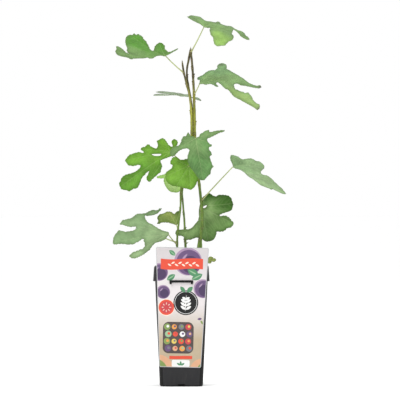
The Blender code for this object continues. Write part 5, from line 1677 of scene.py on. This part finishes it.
def blade_relief(points, rib_gap, side_gap, seed, size):
    """How far the folds between ribs, the quilting between veins and the waves lift it."""
    small = min(rib_gap.max(), FOLD_REACH) / FOLD_REACH
    fold = FOLD * small * (1 - np.exp(-((rib_gap / FOLD_REACH) ** 1.4) * 2))
    quilt = QUILT * size * (1 - np.exp(-np.minimum(rib_gap, side_gap) / QUILT_REACH))
    wave = np.array([smooth_noise((*p, 0.0), WAVE_LENGTH, seed) for p in points])
    ripple = np.array([smooth_noise((*p, 1.0), WAVE_LENGTH / 3, seed) for p in points])
    loose = 1 - bell(rib_gap, 1, LOOSE_REACH)
    return fold + quilt + size * (WAVE * wave * (0.25 + loose) + RIPPLE * WAVE * ripple * loose)


def make_leaf(number, name, leaf):
    plane, flat, notches, widths = blade_knots(leaf)
    seed = number * 1.37 + 0.5
    size = min(1.0, np.linalg.norm(flat, axis=1).max() / FULL_LEAF)
    surface = blade_surface(leaf, plane, flat, notches)
    outline, opening = blade_edges(name, leaf, plane, flat, notches, widths, surface)
    rim = scalloped(smooth_curve(outline, RIM_STEP, closed=True), seed, size)
    ribs = primary_ribs(leaf, plane, flat)
    veins = side_veins(ribs, rim, random.Random(number))
    points, faces = blade_net(rim, opening, ribs + veins, NET_STEP)
    rib_show, rib_gap = vein_strength(points, ribs, RIB_WIDTH)
    side_show, side_gap = vein_strength(points, veins, SIDE_WIDTH) if veins else (0, rib_gap)
    rim_gap, _ = distances(points, np.vstack((rim, opening)))
    height = surface(points) + blade_relief(points, rib_gap, side_gap, seed, size)
    world = np.column_stack((points, height)) @ plane + np.array(leaf.joint) * MM
    normals = surface_normals(world, faces)
    if (normals @ plane[2]).mean() < 0:
        normals = -normals
        faces = faces[:, ::-1]
    half = RIM_HALF + (BLADE_HALF - RIM_HALF) * (1 - np.exp(-rim_gap / THIN_REACH))
    crease = VEIN_CREASE * rib_show + 0.5 * VEIN_CREASE * side_show
    ridge = VEIN_RIDGE * rib_show + 0.45 * VEIN_RIDGE * side_show
    top = world + normals * (half - crease * size)[:, None]
    bottom = world - normals * (half + ridge * size)[:, None]
    dry = np.zeros(len(points))
    for lobe, share in DRY_LOBES.get(name, ()):
        gap = np.linalg.norm(points - flat[lobe, :2], axis=1)
        dry += bell(gap, share, DRY_REACH)
    # The leaf's green in painted shade, its green in painted sunlight, and each lobe's share of
    # painted sunlight.
    upper, sunlit, painted_light = LOOKS[name]
    values = {
        "vein": np.clip(rib_show + SIDE_SHARE * side_show, 0, 1),
        "edge": bell(rim_gap, 1, EDGE_REACH),
        # Painted shade along the rim, as a share from 0 to 1.
        "margin": bell(rim_gap, 1, RIM_SHADE_REACH * size),
        "painted_light": lobe_painted_light(points, ribs, painted_light),
        "dry": dry,
    }
    values = {key: np.tile(numbers, 2) for key, numbers in values.items()}
    values["under"] = np.repeat((0.0, 1.0), len(points))
    made = mesh_object(f"{name}_blade", np.vstack((top, bottom)), sheet_faces(faces, len(points)),
                       [leaf_finish(name, upper, sunlit)], **values)
    place(made, "leaf", f"leaf_{name}")


def surface_normals(points, faces):
    """Area-weighted normals at the points of a triangle mesh."""
    a, b, c = (points[faces[:, k]] for k in range(3))
    flat = np.cross(b - a, c - a)
    normals = np.zeros_like(points)
    for k in range(3):
        np.add.at(normals, faces[:, k], flat)
    return normals / np.maximum(np.linalg.norm(normals, axis=1), TINY**2)[:, None]


def rim_loop(faces):
    """The directed edges that only one face has."""
    edges = set()
    for a, b, c in faces:
        edges |= {(a, b), (b, c), (c, a)}
    return [edge for edge in edges if edge[::-1] not in edges]


def make_stage():
    """A plain pale floor, a white surround and soft light from above the camera."""
    shader = Shader("floor")
    cloud = shader.noise(3.0, 2.0)
    shader.colour(shader.mix(cloud, (0.955, 0.955, 0.955), (0.965, 0.965, 0.965)))
    shader.fix("Roughness", 0.9)
    shader.fix("Emission Color", (1.0, 1.0, 1.0))
    shader.fix("Emission Strength", 0.04)
    corners = [(x * FLOOR_HALF, y * FLOOR_HALF, 0) for x, y in ((-1, -1), (1, -1), (1, 1), (-1, 1))]
    mesh_object("floor", corners, [(0, 1, 2, 3)], [shader.material], smooth=False)
    world = bpy.data.worlds.new("studio")
    world.use_nodes = True
    backdrop = world.node_tree.nodes["Background"]
    backdrop.inputs["Color"].default_value = (1.0, 1.0, 1.0, 1.0)
    backdrop.inputs["Strength"].default_value = 1.0
    bpy.context.scene.world = world
    bpy.context.scene.view_settings.view_transform = "Standard"
    for name, (at, aim, size, power) in LIGHTS.items():
        soft_light(name, at, aim, size, power)


def soft_light(name, at, aim, size, power):
    lamp = bpy.data.lights.new(name, "AREA")
    lamp.shape = "DISK"
    lamp.size = size
    lamp.energy = power
    made = shown(name, lamp)
    made.location = at
    made.rotation_euler = (Vector(aim) - Vector(at)).to_track_quat("-Z", "Y").to_euler()


def make_camera():
    lens = bpy.data.cameras.new("camera")
    lens.sensor_width = SENSOR
    lens.lens = SENSOR * VIEW_DISTANCE / VIEW_WIDTH
    made = shown("camera", lens)
    made.location = (VIEW_CENTRE[0], -VIEW_DISTANCE, VIEW_CENTRE[1])
    made.rotation_euler = (math.pi / 2, 0.0, 0.0)
    bpy.context.scene.camera = made


def main():
    make_camera()
    make_stage()
    make_pot()
    make_label()
    make_compost()
    make_chips()
    bark = stem_finish()
    for name in STEMS:
        make_stem(name, bark)
    stalk = petiole_finish()
    for number, (name, leaf) in enumerate(LEAVES.items()):
        make_leaf(number, name, leaf)
        make_petiole(name, leaf, stalk)


main()
